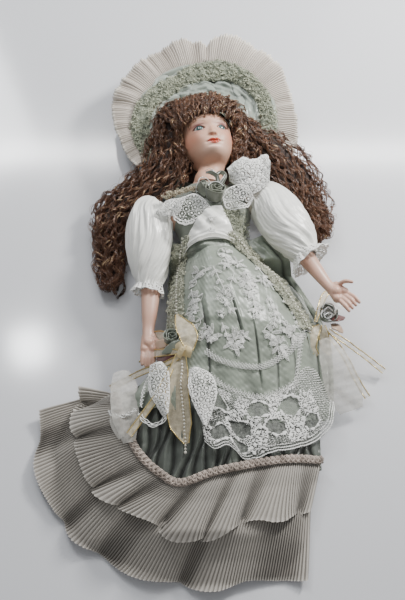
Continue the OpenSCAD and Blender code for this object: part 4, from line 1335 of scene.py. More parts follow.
def flounce_pattern(s, h):
    """Which part of the flounce is thread: s mm along the hem, h mm up from its scalloped edge."""
    keep = (h < 0.9) | ((h > 2.0) & (h < 3.1)) | ((h > 4.4) & (h < 5.2))
    window = np.ones(s.shape, bool)
    for cs, ch, rs, rh in FLOUNCE_WINDOWS:
        q = np.hypot((s - cs) / rs, (h - ch) / rh)
        around = np.arctan2((h - ch) / rh, (s - cs) / rs)
        keep = np.where(q < 1.3 + 0.1 * np.sin(around * 9), (q > 1.0 + 0.08 * np.sin(around * 7)), keep)
        window &= q > 1.0
    field = lace_field(s, h, 8.5, 21)
    dense = np.zeros(s.shape, bool)
    for cs, ch, size in FLOUNCE_MOTIFS:
        dense |= np.hypot(s - cs, h - ch) < size * (1 + 0.15 * np.sin(5 * np.arctan2(h - ch, s - cs)))
    keep = np.where(dense & window, field > 0.16, keep)
    net = (np.abs(((s + h) / 1.9) % 1 - 0.5) > 0.33) | (np.abs(((s - h) / 1.9) % 1 - 0.5) > 0.33)
    return keep | (net & (h > 5.2) & window)


FLOUNCE_TOP = [(-6, -104), (12, -112), (26, -117), (47, -118), (64, -110), (76, -100), (86, -84), (97, -80)]
FLOUNCE_HEM = [(2, -158), (10, -163), (19, -160), (27, -163), (34, -169), (44, -169), (53, -164), (64, -161),
               (74, -156), (84, -152), (92, -146), (102, -139), (109, -130), (113, -118), (112, -100)]


def make_flounce(lace, tulle):
    rows, columns = 150, 260
    p = between([FLOUNCE_TOP, FLOUNCE_HEM], columns, rows)
    hem = p[-1]
    along = lengths(hem)[None] * 0.93
    width = np.linalg.norm(p - hem[None], axis=2)
    scallop = 1.6 * np.abs(np.sin(math.pi * along / 21))
    h = width - (1.6 - scallop) - 0.4 * np.abs(np.sin(math.pi * along / 2.2))
    u = along / along.max()
    wave = (2.2 * np.sin(along / 9.0 + 1) * step(0, 40, width.max() - width)
            + 0.6 * ripple(on_gown(p), 6, 8))
    points = on_gown(p, -0.4, 1.2)
    points[..., 2] += wave + 0.5 * np.sin(u * 9)
    keep = flounce_pattern(np.broadcast_to(along, h.shape), h) & (h > -0.2)
    cut_sheet("lace_flounce_sheet", points, keep, lace, nodes=("lace_flounce",), thickness=0.7)
    under = points[::3, ::3].copy()
    under[..., 2] -= 0.7
    net = build_mesh("flounce_tulle", under[:-1], grid_faces(len(under) - 1, under.shape[1]))
    place(net, "torso", "white_lace", tulle, thickness=0.2)


def make_gown_lace():
    """The lace on the skirt; returns its thread finish for the other lace pieces."""
    lace = white_lace()
    tulle = Finish("tulle", (0.50, 0.52, 0.48), rough=0.8)
    tulle.fade(tulle.ramp(tulle.noise(500, 2), 0.3, 0.7, 0.06, 0.26))
    make_front_lace(lace)
    make_flounce(lace, tulle)
    return lace


# ---------- shoulders, bodice and white satin front ----------

def rings_mesh(name, rings, around, detail=None):
    """A closed tube through rings (x, y, z, half width, front, back), stacked along y."""
    rows = 8 * len(rings)
    r = curve(rings, rows)
    a = circle(around)
    x = r[:, 0:1] + r[:, 3:4] * np.cos(a)
    z = r[:, 2:3] + np.where(np.sin(a) > 0, r[:, 4:5] * np.sin(a), r[:, 5:6] * np.sin(a))
    y = np.broadcast_to(r[:, 1:2], x.shape)
    points = np.stack([x, y, z], -1)
    if detail is not None:
        points = points + detail(points)[..., None] * [0, 0, 1]
    return build_mesh(name, points, grid_faces(rows, around, closed=True))


def make_shoulders(bisque):
    rings = [(NECK_X, 103, 42, 12.4, 9.4, 15), (NECK_X, 99, 42, 13.4, 10.4, 15.2),
             (NECK_X, 95, 41, 16, 12.4, 15.5), (NECK_X, 88, 39, 25, 15, 16),
             (NECK_X, 80, 37, 33, 17, 17), (NECK_X, 70, 35, 37, 19, 18),
             (NECK_X, 60, 34, 36, 19, 18), (NECK_X, 54, 33, 30, 14, 14)]
    piece = rings_mesh("porcelain_shoulders", rings, 90)
    place(piece, "torso", "porcelain", bisque, "shoulder_plate")


def make_bodice(lace):
    rings = [(5, 92, 38, 22, 17.5, 17), (5, 87, 37, 30, 19.5, 18), (5, 78, 35.5, 36, 22, 19),
             (6, 68, 34, 38, 24, 20), (7, 58, 33, 34, 25, 20), (8, 44, 32, 29, 24, 20),
             (8, 32, 32, 26, 23.5, 19), (8, 22, 32, 25, 23, 19)]
    cloth = sage_satin("bodice_cloth", (0.20, 0.22, 0.18))
    piece = rings_mesh("bodice_cloth", rings, 120, lambda p: 0.5 * ripple(p, 5, 2))
    paint(piece, "shade", np.zeros(len(piece.data.vertices)))
    place(piece, "torso", "sage_satin", cloth, "bodice")
    make_bodice_popcorn()
    satin = white_satin()
    make_white_front(satin, lace)
    return satin


def make_bodice_popcorn():
    count = 620
    x = rng.uniform(18, 42, count)
    y = rng.uniform(30, 68, count)
    centres = np.stack([x, y, bodice_face(x, y) + 0.3], 1)
    popcorn_piece("bodice_popcorn", centres, [0.1, 0, 1.0], 1.05, 0.3, 0.35, "torso", "sage_braid",
                  yarn("bodice_yarn", (0.50, 0.52, 0.39), (0.10, 0.115, 0.08)))


def make_white_front(satin, lace):
    """The crumpled white satin between the bands at the waist, with two lace flowers on it."""
    rows, columns = 110, 110
    v = np.linspace(0, 1, rows)
    left = curve([(6, 63), (-4, 51), (-12, 38), (-18, 23)], v)
    right = curve([(17, 63), (23, 50), (27, 40), (31, 29)], v)
    u = np.linspace(0, 1, columns)
    xy = left[:, None] * (1 - u)[None, :, None] + right[:, None] * u[None, :, None]
    xy[..., 1] += 3.0 * v[:, None] * np.sin(math.pi * u)[None]
    foot = 1 - v[:, None]
    lane = xy[..., 0] * 0.55 + xy[..., 1] * 0.84
    folds = 1.5 * np.sin(lane / 2.6 + 2 * np.sin(xy[..., 0] / 9)) * step(0.95, 0.5, v[:, None])
    hem = 1.7 * np.sin(foot * 50.4 + 1.2 * np.sin(u * 9)[None]) * step(0.28, 0.1, foot)
    z = (bodice_face(xy[..., 0], xy[..., 1]) + 2.2 + 0.55 * folds + 0.75 * hem
         + 0.72 * np.sin(math.pi * u)[None])
    points = np.concatenate([xy, z[..., None]], -1)
    points[..., 2] += 0.5 * ripple(points, 6, 7)
    front = build_mesh("white_satin_front", points, grid_faces(rows, columns))
    dark = 0.35 * step(-0.2, -1.3, folds) + 0.3 * step(-0.4, -1.5, hem)
    paint(front, "shade", np.clip(dark, 0, 1).ravel())
    place(front, "torso", "cream_satin", satin, "waist_sash", thickness=0.5)
    motifs = flower(8.5, 49, 3.2, 5, 0.3, 1) + flower(8.5, 38, 3.2, 5, 0.1, 1)
    xy = np.array([even(line, 22) for line in motifs])
    lifted = np.concatenate([xy, (bodice_face(xy[..., 0], xy[..., 1]) + 4.1)[..., None]], -1)
    verts, faces = threads(lifted, 0.3, 4)
    place(build_mesh("front_lace_flowers", verts, faces), "torso", "white_lace", lace)


def white_satin():
    satin = Finish("cream_satin", (0.88, 0.88, 0.83), rough=0.3, Sheen_Weight=0.2, Specular_IOR_Level=0.6)
    satin.tint(satin.ramp(satin.noise(80, 4), 0.4, 0.75, 0, 0.2), (0.64, 0.64, 0.585))
    satin.tint(satin.attribute("shade"), (0.27, 0.28, 0.235))
    satin.bump(satin.noise(190, 4, stretch=(1, 0.4, 1)), 0.4, 0.45)
    satin.bump(satin.noise(3200, 2), 0.12, 0.05)
    return satin


# ---------- collar and rosette ----------

def lace_field(x, y, pitch, seed):
    """Thread height of all-over flowered lace, from 0 in its holes to 1, at points in mm."""
    own = np.random.default_rng(seed)
    gx, gy = np.meshgrid(np.arange(x.min() - pitch, x.max() + pitch, pitch),
                         np.arange(y.min() - pitch, y.max() + pitch, pitch * 0.87))
    cx = ((gx + 0.5 * pitch * (np.arange(len(gx)) % 2)[:, None]).ravel()
          + own.uniform(-0.22, 0.22, gx.size) * pitch)
    cy = gy.ravel() + own.uniform(-0.22, 0.22, gx.size) * pitch
    spin, petals = own.uniform(0, FULL_TURN, gx.size), own.choice([5, 6, 7], gx.size)
    near = ((x[..., None] - cx) ** 2 + (y[..., None] - cy) ** 2).argmin(-1)
    d = np.hypot(x - cx[near], y - cy[near])
    t = np.arctan2(y - cy[near], x - cx[near]) * petals[near] / 2 + spin[near]
    edge = 0.47 * pitch * (0.66 + 0.34 * np.abs(np.cos(t)))
    line = np.exp(-((d - edge) / 0.42) ** 2)
    vein = np.exp(-(np.sin(t) * d / 0.55) ** 2) * step(edge + 0.3, edge - 0.3, d) * 0.8
    core = np.exp(-(d / (0.16 * pitch)) ** 2)
    bars = (np.maximum(np.exp(-((((x + y) / 2.0) % 1 - 0.5) / 0.17) ** 2),
                       np.exp(-((((x - y) / 2.0) % 1 - 0.5) / 0.17) ** 2)) * 0.5)
    return np.clip(np.maximum.reduce([line, vein, core, bars * (d > edge)]), 0, 1)


def patch_grid(lower, upper, rows, columns):
    """A grid of (x, y) from one edge line to another, with its steps across and up."""
    a, b = even(lower, columns), even(upper, columns)
    u, t = grid_steps(rows, columns)
    return a[None] * (1 - t[..., None]) + b[None] * t[..., None], u, t


def lace_patch(name, lower, upper, z_low, z_high, lace, seed, nodes=(), hole=0.30, bulge=1.5):
    """A small lace sheet between two edge lines in mm, with a corded, scalloped rim and a flowered middle."""
    xy, u, t = patch_grid(lower, upper, 100, 150)
    z = (z_low + (z_high - z_low) * t + bulge * np.sin(math.pi * t) + 0.8 * np.sin(u * 11 + seed) * (1 - t)
         + 0 * u)
    field = lace_field(xy[..., 0], xy[..., 1], 6.5, seed)
    rim = (t < 0.07) | (u < 0.035) | (u > 0.965) | (t > 0.95) | ((t > 0.11) & (t < 0.145))
    keep = rim | (field > hole)
    scallop = t > 0.03 * (1 - np.abs(np.sin(u * 26)))
    points = np.concatenate([xy, z[..., None]], -1)
    points[..., 2] += 0.5 * field + 0.6 * ripple(points, 6, seed)
    cut_sheet(name, points, keep & scallop, lace, nodes=nodes)


def make_collar(lace):
    lace_patch("collar_petal_outer", [(-42, 57), (-34, 55), (-27, 56), (-21, 57)],
               [(-39, 60), (-33, 69), (-24, 72), (-15, 73)], 54, 58, lace, 2, hole=0.22)
    lace_patch("collar_petal_front", [(-27, 58), (-25, 49), (-17, 44), (-8, 47), (1, 54), (9, 59)],
               [(-19, 71), (-14, 73), (-9, 75), (-4, 74), (1, 70), (5, 64)], 57, 61, lace, 5,
               nodes=("lace_collar",), hole=0.42)
    lace_patch("collar_petal_left", [(20, 61), (27, 60), (34, 60), (41, 63), (46, 72)],
               [(17, 74), (22, 80), (29, 84), (36, 85), (41, 82)], 58, 61, lace, 9, hole=0.40)
    count = 120
    at = even([(-34, 73), (-24, 77), (-14, 80), (-6, 82)], count)
    centres = np.column_stack([at + rng.normal(0, 1.2, (count, 2)), 58.5 + rng.normal(0, 0.6, count)])
    popcorn_piece("collar_popcorn", centres, [0, 0, 1.0], 1.2, 0.34, 0.3, "torso", "beige_braid",
                  yarn("gold_popcorn", (0.52, 0.46, 0.33), (0.20, 0.15, 0.09)))
    make_standing_collar(lace)


def make_standing_collar(lace):
    """The lace that stands up beside the neck on the doll's left, and the satin inside it."""
    low = [(25, 93), (33, 84), (44, 77), (56, 84), (60, 90)]
    high = [(22, 102), (29, 108), (38, 113), (44, 111), (50, 114), (58, 119), (61, 110), (61, 104)]
    xy, u, t = patch_grid(low, high, 90, 120)
    z = 57 + 6 * t + 3.2 * np.sin(math.pi * t) - 2.5 * step(0.3, 0, u) + 1.4 * np.sin(u * 7) * t
    points = np.concatenate([xy, z[..., None]], -1)
    relief = lace_field(xy[..., 0], xy[..., 1], 7.5, 11)
    points[..., 2] += 0.9 * relief + 0.8 * ripple(points, 9, 5)
    edge = t < 1 - 0.04 * np.abs(np.sin(u * 20))
    cut_sheet("standing_collar_lace", points, edge & ((relief > 0.05) | (t > 0.9)), lace,
              nodes=("standing_collar",), thickness=0.8)
    inner = satin_patch("collar_sage_inside", [(24, 93), (31, 87), (36, 92)],
                        [(24, 101), (29, 106), (36, 108)], 54.5, 58)
    place(inner, "torso", "sage_satin", sage_satin("collar_satin", (0.36, 0.38, 0.24)), thickness=0.4)


def satin_patch(name, lower, upper, z_low, z_high):
    """A small crumpled satin piece between two edge lines in mm."""
    rows, columns = 30, 30
    xy, _, t = patch_grid(lower, upper, rows, columns)
    z = z_low + (z_high - z_low) * t + 0 * xy[..., 0]
    points = np.concatenate([xy, z[..., None]], -1)
    points[..., 2] += 0.5 * ripple(points, 4, 2)
    piece = build_mesh(name, points, grid_faces(rows, columns))
    paint(piece, "shade", 0.3 * step(0, -1, ripple(points, 4, 2)).ravel())
    return piece


def rolled_rose(centre, axis, radius, height, turns):
    """A rose rolled from a ribbon: a spiral wall that opens outwards, as (verts, faces)."""
    wave = 0.5
    columns, rows = int(70 * turns), 14
    u, v = grid_steps(rows, columns)
    a = 2 * math.pi * turns * u
    r = (radius * (0.12 + 0.88 * u ** 0.8) * (0.84 + 0.16 * v) + wave * np.sin(a * 1.7 + 1) * v
         + 0.5 * wave * np.sin(a * 4.3))
    h = height * (v - 0.5) * (1 - 0.12 * u) + wave * np.sin(a * 2.3) * v
    axis = unit(np.array(axis, float))
    side = unit(np.cross(axis, [0.2, 0.9, 0.1]))
    other = np.cross(axis, side)
    p = (np.array(centre, float) + (r * np.cos(a))[..., None] * side + (r * np.sin(a))[..., None] * other
         + h[..., None] * axis)
    return p.reshape(-1, 3), grid_faces(rows, columns)


def ribbon(points, width, twist=0.0, cup=0.0, across=7):
    """A flat ribbon along a curve as (verts, faces); width and twist may be lists that vary along it."""
    samples = 60
    line = even(points, samples)
    side, normal = frame_along(line)

    def along(value):
        value = np.atleast_1d(np.asarray(value, float))
        return np.interp(np.linspace(0, 1, samples), np.linspace(0, 1, len(value)), value)

    turn, width = along(twist), along(width)
    c, s = np.cos(turn)[:, None], np.sin(turn)[:, None]
    q = np.linspace(-0.5, 0.5, across)[None, :, None]
    p = line[:, None] + q * (width[:, None] * (c * side + s * normal))[:, None]
    p = p + (cup * (0.25 - q ** 2)) * normal[:, None]
    return p.reshape(-1, 3), grid_faces(samples, across)


def make_rosette():
    dark = sage_satin("rosette_satin", (0.21, 0.225, 0.175))
    silver = Finish("silver_edge", (0.75, 0.76, 0.74), rough=0.25, Metallic=0.35)
    parts = [rolled_rose((12, 76, 63), (0.05, 0.42, 0.9), 10.0, 12.5, 3.4)]
    parts.append(ribbon([(4, 75, 60), (-1, 80, 61), (-3, 86, 62), (3, 88, 62), (7, 83, 61)], [7, 9, 9, 7],
                        cup=2, twist=[0.2, 0.9, 1.2, 0.6]))
    parts.append(ribbon([(14, 83, 63), (13, 90, 66), (8, 95, 65), (3, 98, 61)], [4, 4.5, 4, 2],
                        twist=[0.3, 1.0, 0.6]))
    parts.append(ribbon([(16, 82, 64), (20, 90, 66), (17, 96, 64), (11, 94, 62)], [4, 5, 4, 3],
                        twist=[0.2, 0.9, 0.5]))
    verts, faces = join_parts(parts)
    piece = build_mesh("neck_rosette", verts, faces)
    paint(piece, "shade", np.clip(0.35 * step(0, -0.9, ripple(verts, 2.5, 4)), 0, 1))
    place(piece, "torso", "sage_satin", dark, "neck_rose", thickness=0.5)
    wires = [[(-4, 87, 63), (-2, 90, 64), (3, 90, 64), (7, 86, 63)],
             [(-6, 80, 60.5), (-5, 84, 62), (-3, 88, 63)],
             [(3, 97, 61), (8, 97, 66), (13, 92, 67), (14, 84, 65)],
             [(2, 100, 60), (6, 100, 64), (10, 97, 66)],
             [(12, 94, 63), (18, 97, 65), (21, 91, 67), (17, 83, 66)],
             [(15, 82, 69), (18, 86, 70), (20, 91, 68)],
             [(5, 79, 68.5), (9, 82, 69.5), (14, 82, 69.5), (19, 78, 69)]]
    lines = np.array([even(w, 30) for w in wires])
    verts, faces = threads(lines, 0.4, 5, flat=0.5)
    place(build_mesh("rosette_silver_edge", verts, faces), "torso", "metal", silver)


# ---------- sleeves, cuffs and porcelain hands ----------

# Points in mm; each sleeve point has the sleeve's radius there as its last number.
SHOULDERS = {"right": (-34, 72, 34), "left": (45, 80, 37)}
ELBOWS = {"right": (-46, 4, 30), "left": (88, 29, 39)}
SLEEVES = {"right": [(-38, 74, 37, 15), (-45, 66, 37, 19), (-48, 52, 36, 20.5), (-48, 36, 34.5, 20.5),
                     (-47.5, 20, 33, 18), (-47, 8, 31.5, 14), (-47, -2, 30.5, 10.5), (-46.6, -6, 30, 8.5)],
           "left": [(48, 86, 40, 12), (56, 82, 41, 18), (65, 72, 40, 21.5), (73, 58, 39.5, 22.5),
                    (80, 46, 39, 21), (86, 35, 39, 17), (91, 26, 39.5, 12), (93, 22, 40, 9.5)]}


def make_sleeve(side, satin):
    rows, around = 110, 200
    r = curve(SLEEVES[side], rows)
    line, radius = r[:, :3], r[:, 3:4]
    across, normal = frame_along(line)
    a = circle(around)
    t = np.linspace(0, 1, rows)[:, None]
    seed = 3 if side == "right" else 6
    slant = a + 0.5 * np.sin(t * 5 + seed)
    lane = np.stack([np.cos(slant) * 7, np.sin(slant) * 7, t * 7 + 0 * a], -1)
    broad = ripple(lane, 4.2, seed)
    narrow = ripple(lane * [2.4, 2.4, 1.5], 3.6, seed + 2)
    gather = step(0.45, 1, t) + 0.5 * step(0.3, 0, t)
    crisp = ripple(lane * [5, 5, 3.6], 3.4, seed + 4)
    pinch = -np.abs(ripple(lane * [2.6, 2.6, 1.3], 3.8, seed + 1)) ** 0.5
    folds = ((1.8 * broad + 1.5 * narrow + 2.0 * (pinch + 0.6)) * (0.55 + 0.45 * gather) + 0.8 * crisp
             + 0.8 * np.sin(a * 26 + 3 * broad) * step(0.8, 1, t))
    wide = radius * (1 + 0.02 * np.sin(3 * a)) + folds
    flat = 0.86
    p = (line[:, None] + (wide * np.cos(a))[..., None] * across[:, None]
         + (flat * wide * np.sin(a))[..., None] * normal[:, None])
    p[..., 2] = np.maximum(p[..., 2], 3)
    piece = build_mesh(side + "_satin_sleeve", p, grid_faces(rows, around, closed=True))
    dark = 0.5 * step(-0.6, -2.8, folds) * (0.35 + 0.65 * gather) + 0.22 * step(-0.12, 0, pinch)
    paint(piece, "shade", np.clip(dark, 0, 0.8).ravel())
    place(piece, side + "_arm", "cream_satin", satin, side + "_sleeve", thickness=0.4)


def make_cuffs(side, lace):
    """A gathered band with small eyelets, and the lace that flares over the forearm."""
    shoulder, elbow = np.array(SHOULDERS[side], float), np.array(ELBOWS[side], float)
    axis = unit(elbow - shoulder)
    across = unit(np.cross(axis, [0, 0, 1]))
    normal = np.cross(across, axis)
    reach = np.linalg.norm(elbow - shoulder)
    around = 320
    a = circle(around)
    bottom = {"right": 14.0, "left": 20.5}[side]
    for name, start, length, r1, r2, rows in (("band", 0.93, 5.5, 9.5, 10.5, 20),
                                              ("lace", 1.0, 13, 10.5, bottom, 44)):
        t = np.linspace(0, 1, rows)[:, None]
        if name == "band":
            r = r1 + (r2 - r1) * t + 0.9 * np.sin(math.pi * t) + 0.35 * np.sin(a * 22)
        else:
            r = r1 + (r2 - r1) * t ** 1.3 + 1.3 * np.sin(a * 9 + 0.8) * t + 0.6 * np.sin(a * 21) * t
        at = start * reach + length * t * (1 + (0.05 * np.abs(np.sin(a * 11)) if name == "lace" else 0 * a))
        p = (shoulder + at[..., None] * axis + (r * np.cos(a))[..., None] * across
             + (0.85 * r * np.sin(a))[..., None] * normal)
        p[..., 2] = np.maximum(p[..., 2], 2)
        flow = (np.sin(a * 24 + (3 if name == "lace" else 0) * np.sin(t * 7))
                * np.sin(t * (16 if name == "lace" else 6.3)))
        keep = ~((flow > 0.58) & (t > 0.12) & (t < 0.88))
        closed = np.concatenate([p, p[:, :1]], 1)
        cut_sheet(f"{side}_cuff_{name}_lace", closed, np.concatenate([keep, keep[:, :1]], 1), lace,
                  body=side + "_arm", nodes=(f"{side}_cuff_{name}",))


# Each porcelain forearm and hand: points in mm with a radius, then bare points for fingers and thumb.
HANDS = {
    "right": {"arm": [(-46, 2, 30, 9.2), (-46, -14, 30, 8.2), (-46.5, -30, 30, 7), (-47, -42, 29, 5.6),
                      (-47, -50, 29, 5.4), (-46.5, -58, 29, 6)],
              "palm": [(-49.5, -52, 29, 3.6), (-50, -64, 29.5, 3.9)],
              "heel": [(-43.5, -52, 29, 3.8), (-42.5, -64, 30, 3.9)],
              "fingers": [[(-51 + 3.1 * k, -63, 29.5), (-51.6 + 3.3 * k, -72 - 1.5 * math.sin(1.05 * k), 31),
                           (-51.8 + 3.4 * k, -78.5 - 2.2 * math.sin(1.05 * k), 30.5)] for k in range(4)],
              "thumb": [(-41.5, -54, 30), (-37.8, -60, 33.5), (-37.2, -66.5, 35)]},
    "left": {"arm": [(87, 30, 40, 9.2), (94, 18, 41, 8.2), (101, 6, 42, 7), (108, -5, 42, 5.6),
                     (112, -10, 42, 5.4), (116, -14, 42, 5.8)],
             "palm": [(112, -13, 42, 3.6), (117, -21, 42, 3.9)],
             "heel": [(117, -8, 42, 3.8), (124, -14, 42, 3.9)],
             "fingers": [[(117.5 + 2.3 * k, -21 + 2.3 * k, 42), (122.8 + 3.0 * k, -28 + 2.7 * k, 43.5),
                          (126.8 + 3.1 * k, -33.5 + 2.8 * k, 43)] for k in range(4)],
             "thumb": [(118.5, -8.5, 44), (124, -7, 48), (130, -8.5, 49.5)]}}


def make_hand(side, bisque):
    hand = HANDS[side]
    parts = []
    for key in ("arm", "palm", "heel"):
        flat, end_share = (0.8, 0.97) if key == "arm" else (0.85, 1)
        r = curve(hand[key], 30)
        parts.append(threads(r[None, :, :3], r[None, :, 3], 20, flat=flat))
        for end in (0, -1):
            parts.append(ball(r[end, :3], r[end, 3] * end_share))
    for finger in hand["fingers"] + [hand["thumb"]]:
        r = even(finger, 22)
        radius = np.interp(np.linspace(0, 1, 22), [0, 0.45, 0.6, 1], [2.1, 1.9, 2.0, 1.45])
        parts.append(threads(r[None], radius[None], 14))
        parts.append(ball(r[-1], 1.5))
        parts.append(ball(r[0], 2.1))
    verts, faces = join_parts(parts)
    piece = build_mesh(side + "_porcelain_hand", verts, faces)
    skin = piece.modifiers.new("skin", "REMESH")
    skin.mode = "VOXEL"
    skin.voxel_size = 0.0006
    skin.use_smooth_shade = True
    soft = piece.modifiers.new("soft", "SMOOTH")
    soft.iterations = 5
    place(piece, side + "_hand", "porcelain_limb", bisque, side + "_forearm")


def ball(centre, radius):
    """A ball in mm as (verts, faces)."""
    rows, around = 14, 18
    p = np.linspace(0.02, math.pi - 0.02, rows)[:, None]
    a = circle(around)
    shell = np.stack([np.sin(p) * np.cos(a), np.sin(p) * np.sin(a), np.cos(p) + 0 * a], -1)
    return (np.asarray(centre, float) + radius * shell).reshape(-1, 3), grid_faces(rows, around, closed=True)


def make_upper(lace):
    """Shoulders, bodice, collar and arms; returns the limbs' porcelain finish."""
    bisque = Finish("limb_bisque", (0.60, 0.37, 0.28), rough=0.42, Subsurface_Weight=0.08, Coat_Weight=0.1,
                    Coat_Roughness=0.25)
    bisque.shader.inputs["Subsurface Radius"].default_value = LIGHT_DEPTH
    bisque.tint(bisque.ramp(bisque.noise(50), 0.35, 0.75, 0, 0.3), (0.56, 0.28, 0.20))
    bisque.bump(bisque.noise(1800, 2), 0.1, 0.05)
    make_shoulders(bisque)
    satin = make_bodice(lace)
    make_collar(lace)
    make_rosette()
    for side in ("right", "left"):
        make_sleeve(side, satin)
        make_cuffs(side, lace)
        make_hand(side, bisque)
    return bisque


# ---------- popcorn bands with pearls ----------

RIGHT_BAND = [(-18, 37), (-21, 20), (-23, 2), (-23, -18), (-23, -38), (-24, -58)]
LEFT_BAND = [(26, 38), (42, 25), (58, 7), (72, -12), (84, -29), (92, -46)]


def make_band(name, line, half, node, thread):
    """A band of popcorn loops half mm to each side of a line, with a row of pearls down its middle."""
    rows, columns = 200, 22
    centre = even(line, rows)
    side = flat_frame(centre)[1]
    across = np.linspace(-1, 1, columns)[None, :, None]
    xy = centre[:, None] + side[:, None] * across * half
    base = on_gown(xy, 0, 0.8)
    base[..., 2] = np.maximum(base[..., 2], gown_face(centre[:, 0], centre[:, 1])[:, None] - 14)
    base[..., 2] += 1.6 * (1 - across[..., 0] ** 2) + 0.6 * ripple(base, 3, 3)
    cloth = build_mesh(name + "_band_base", base, grid_faces(rows, columns))
    paint(cloth, "tint", np.full(rows * columns, 0.75))
    place(cloth, "torso", "sage_braid", thread)
    count = int(0.42 * 2 * half * np.sum(np.linalg.norm(np.diff(centre, axis=0), axis=1)))
    i, j = rng.integers(0, rows, count), rng.integers(0, columns, count)
    popcorn_piece(name + "_band_popcorn", base[i, j] - [0, 0, 0.3], [0, 0, 1.0], 1.15, 0.33, 0.2,
                  "torso", "sage_braid", thread, node)
    pearls = even(base[:, columns // 2], 34) + [0, 0, 1.6]
    place(bead_mesh(name + "_band_pearls", pearls, 0.95), "torso", "pearl", pearl_finish())


# ---------- hip bows, roses and organza ----------

class Organza:
    """Collects sheer ribbons and their gold wire edges."""

    def __init__(self):
        self.sheets, self.edges = [], []

    def add(self, points, width, twist=0.0, cup=1.5, edge=True):
        across = 9
        verts, faces = ribbon(points, width, twist=twist, cup=cup, across=across)
        p = verts.reshape(-1, across, 3)
        p = p + [0, 0, 1] * (0.5 * ripple(verts, 5, 3)).reshape(-1, across)[..., None]
        self.sheets.append((p.reshape(-1, 3), faces))
        if edge:
            self.edges += [p[:, 0] + [0, 0, 0.3], p[:, -1] + [0, 0, 0.3]]

    def build(self, name, sheer, gold, slot="gold_organza", nodes=()):
        verts, faces = join_parts(self.sheets)
        verts[:, 2] = np.maximum(verts[:, 2], 0.6)
        cloth = build_mesh(name, verts, faces)
        place(cloth, "torso", slot, sheer, *nodes)
        if self.edges:
            lines = np.array(self.edges)
            lines[..., 2] = np.maximum(lines[..., 2], 0.9)
            v, f = threads(lines, 0.5, 5)
            place(build_mesh(name + "_gold_edge", v, f), "torso", slot, gold)


def leaf_mesh(name, points, width, finish, slot):
    verts, faces = ribbon(points, width, cup=1.0, twist=0.3)
    piece = build_mesh(name, verts, faces)
    paint(piece, "shade", np.zeros(len(verts)))
    place(piece, "torso", slot, finish, thickness=0.5)


def make_rose(name, centre, axis, radius, height, finish, node, turns=3.2):
    verts, faces = rolled_rose(centre, axis, radius, height, turns)
    piece = build_mesh(name, verts, faces)
    paint(piece, "shade", np.clip(0.5 * step(0.3, -0.8, ripple(verts, 3, 4)), 0, 1))
    place(piece, "torso", "sage_satin", finish, node, thickness=0.5)


def make_hips(lace):
    """The ribbons, roses and organza at both hips."""
    sheer = Finish("gold_organza", (0.66, 0.58, 0.42), rough=0.35, Sheen_Weight=0.4)
    sheer.fade(sheer.ramp(sheer.noise(260, 2), 0.3, 0.7, 0.5, 0.8))
    sheer.bump(sheer.noise(900, 3), 0.3, 0.15)
    veil = Finish("white_organza", (0.62, 0.60, 0.55), rough=0.4, Sheen_Weight=0.4)
    veil.fade(veil.ramp(veil.noise(180, 2), 0.3, 0.7, 0.42, 0.68))
    gold = Finish("gold_wire", (0.72, 0.56, 0.24), rough=0.3, Metallic=0.75)
    sage = sage_satin("rose_satin", (0.24, 0.27, 0.22))
    burgundy = sage_satin("burgundy_leaf", (0.13, 0.045, 0.04))
    peach = sage_satin("peach_bud", (0.52, 0.36, 0.25))
    make_right_hip(sheer, veil, gold, sage, burgundy, peach, lace)
    make_left_hip(sheer, veil, gold, sage, burgundy, peach)


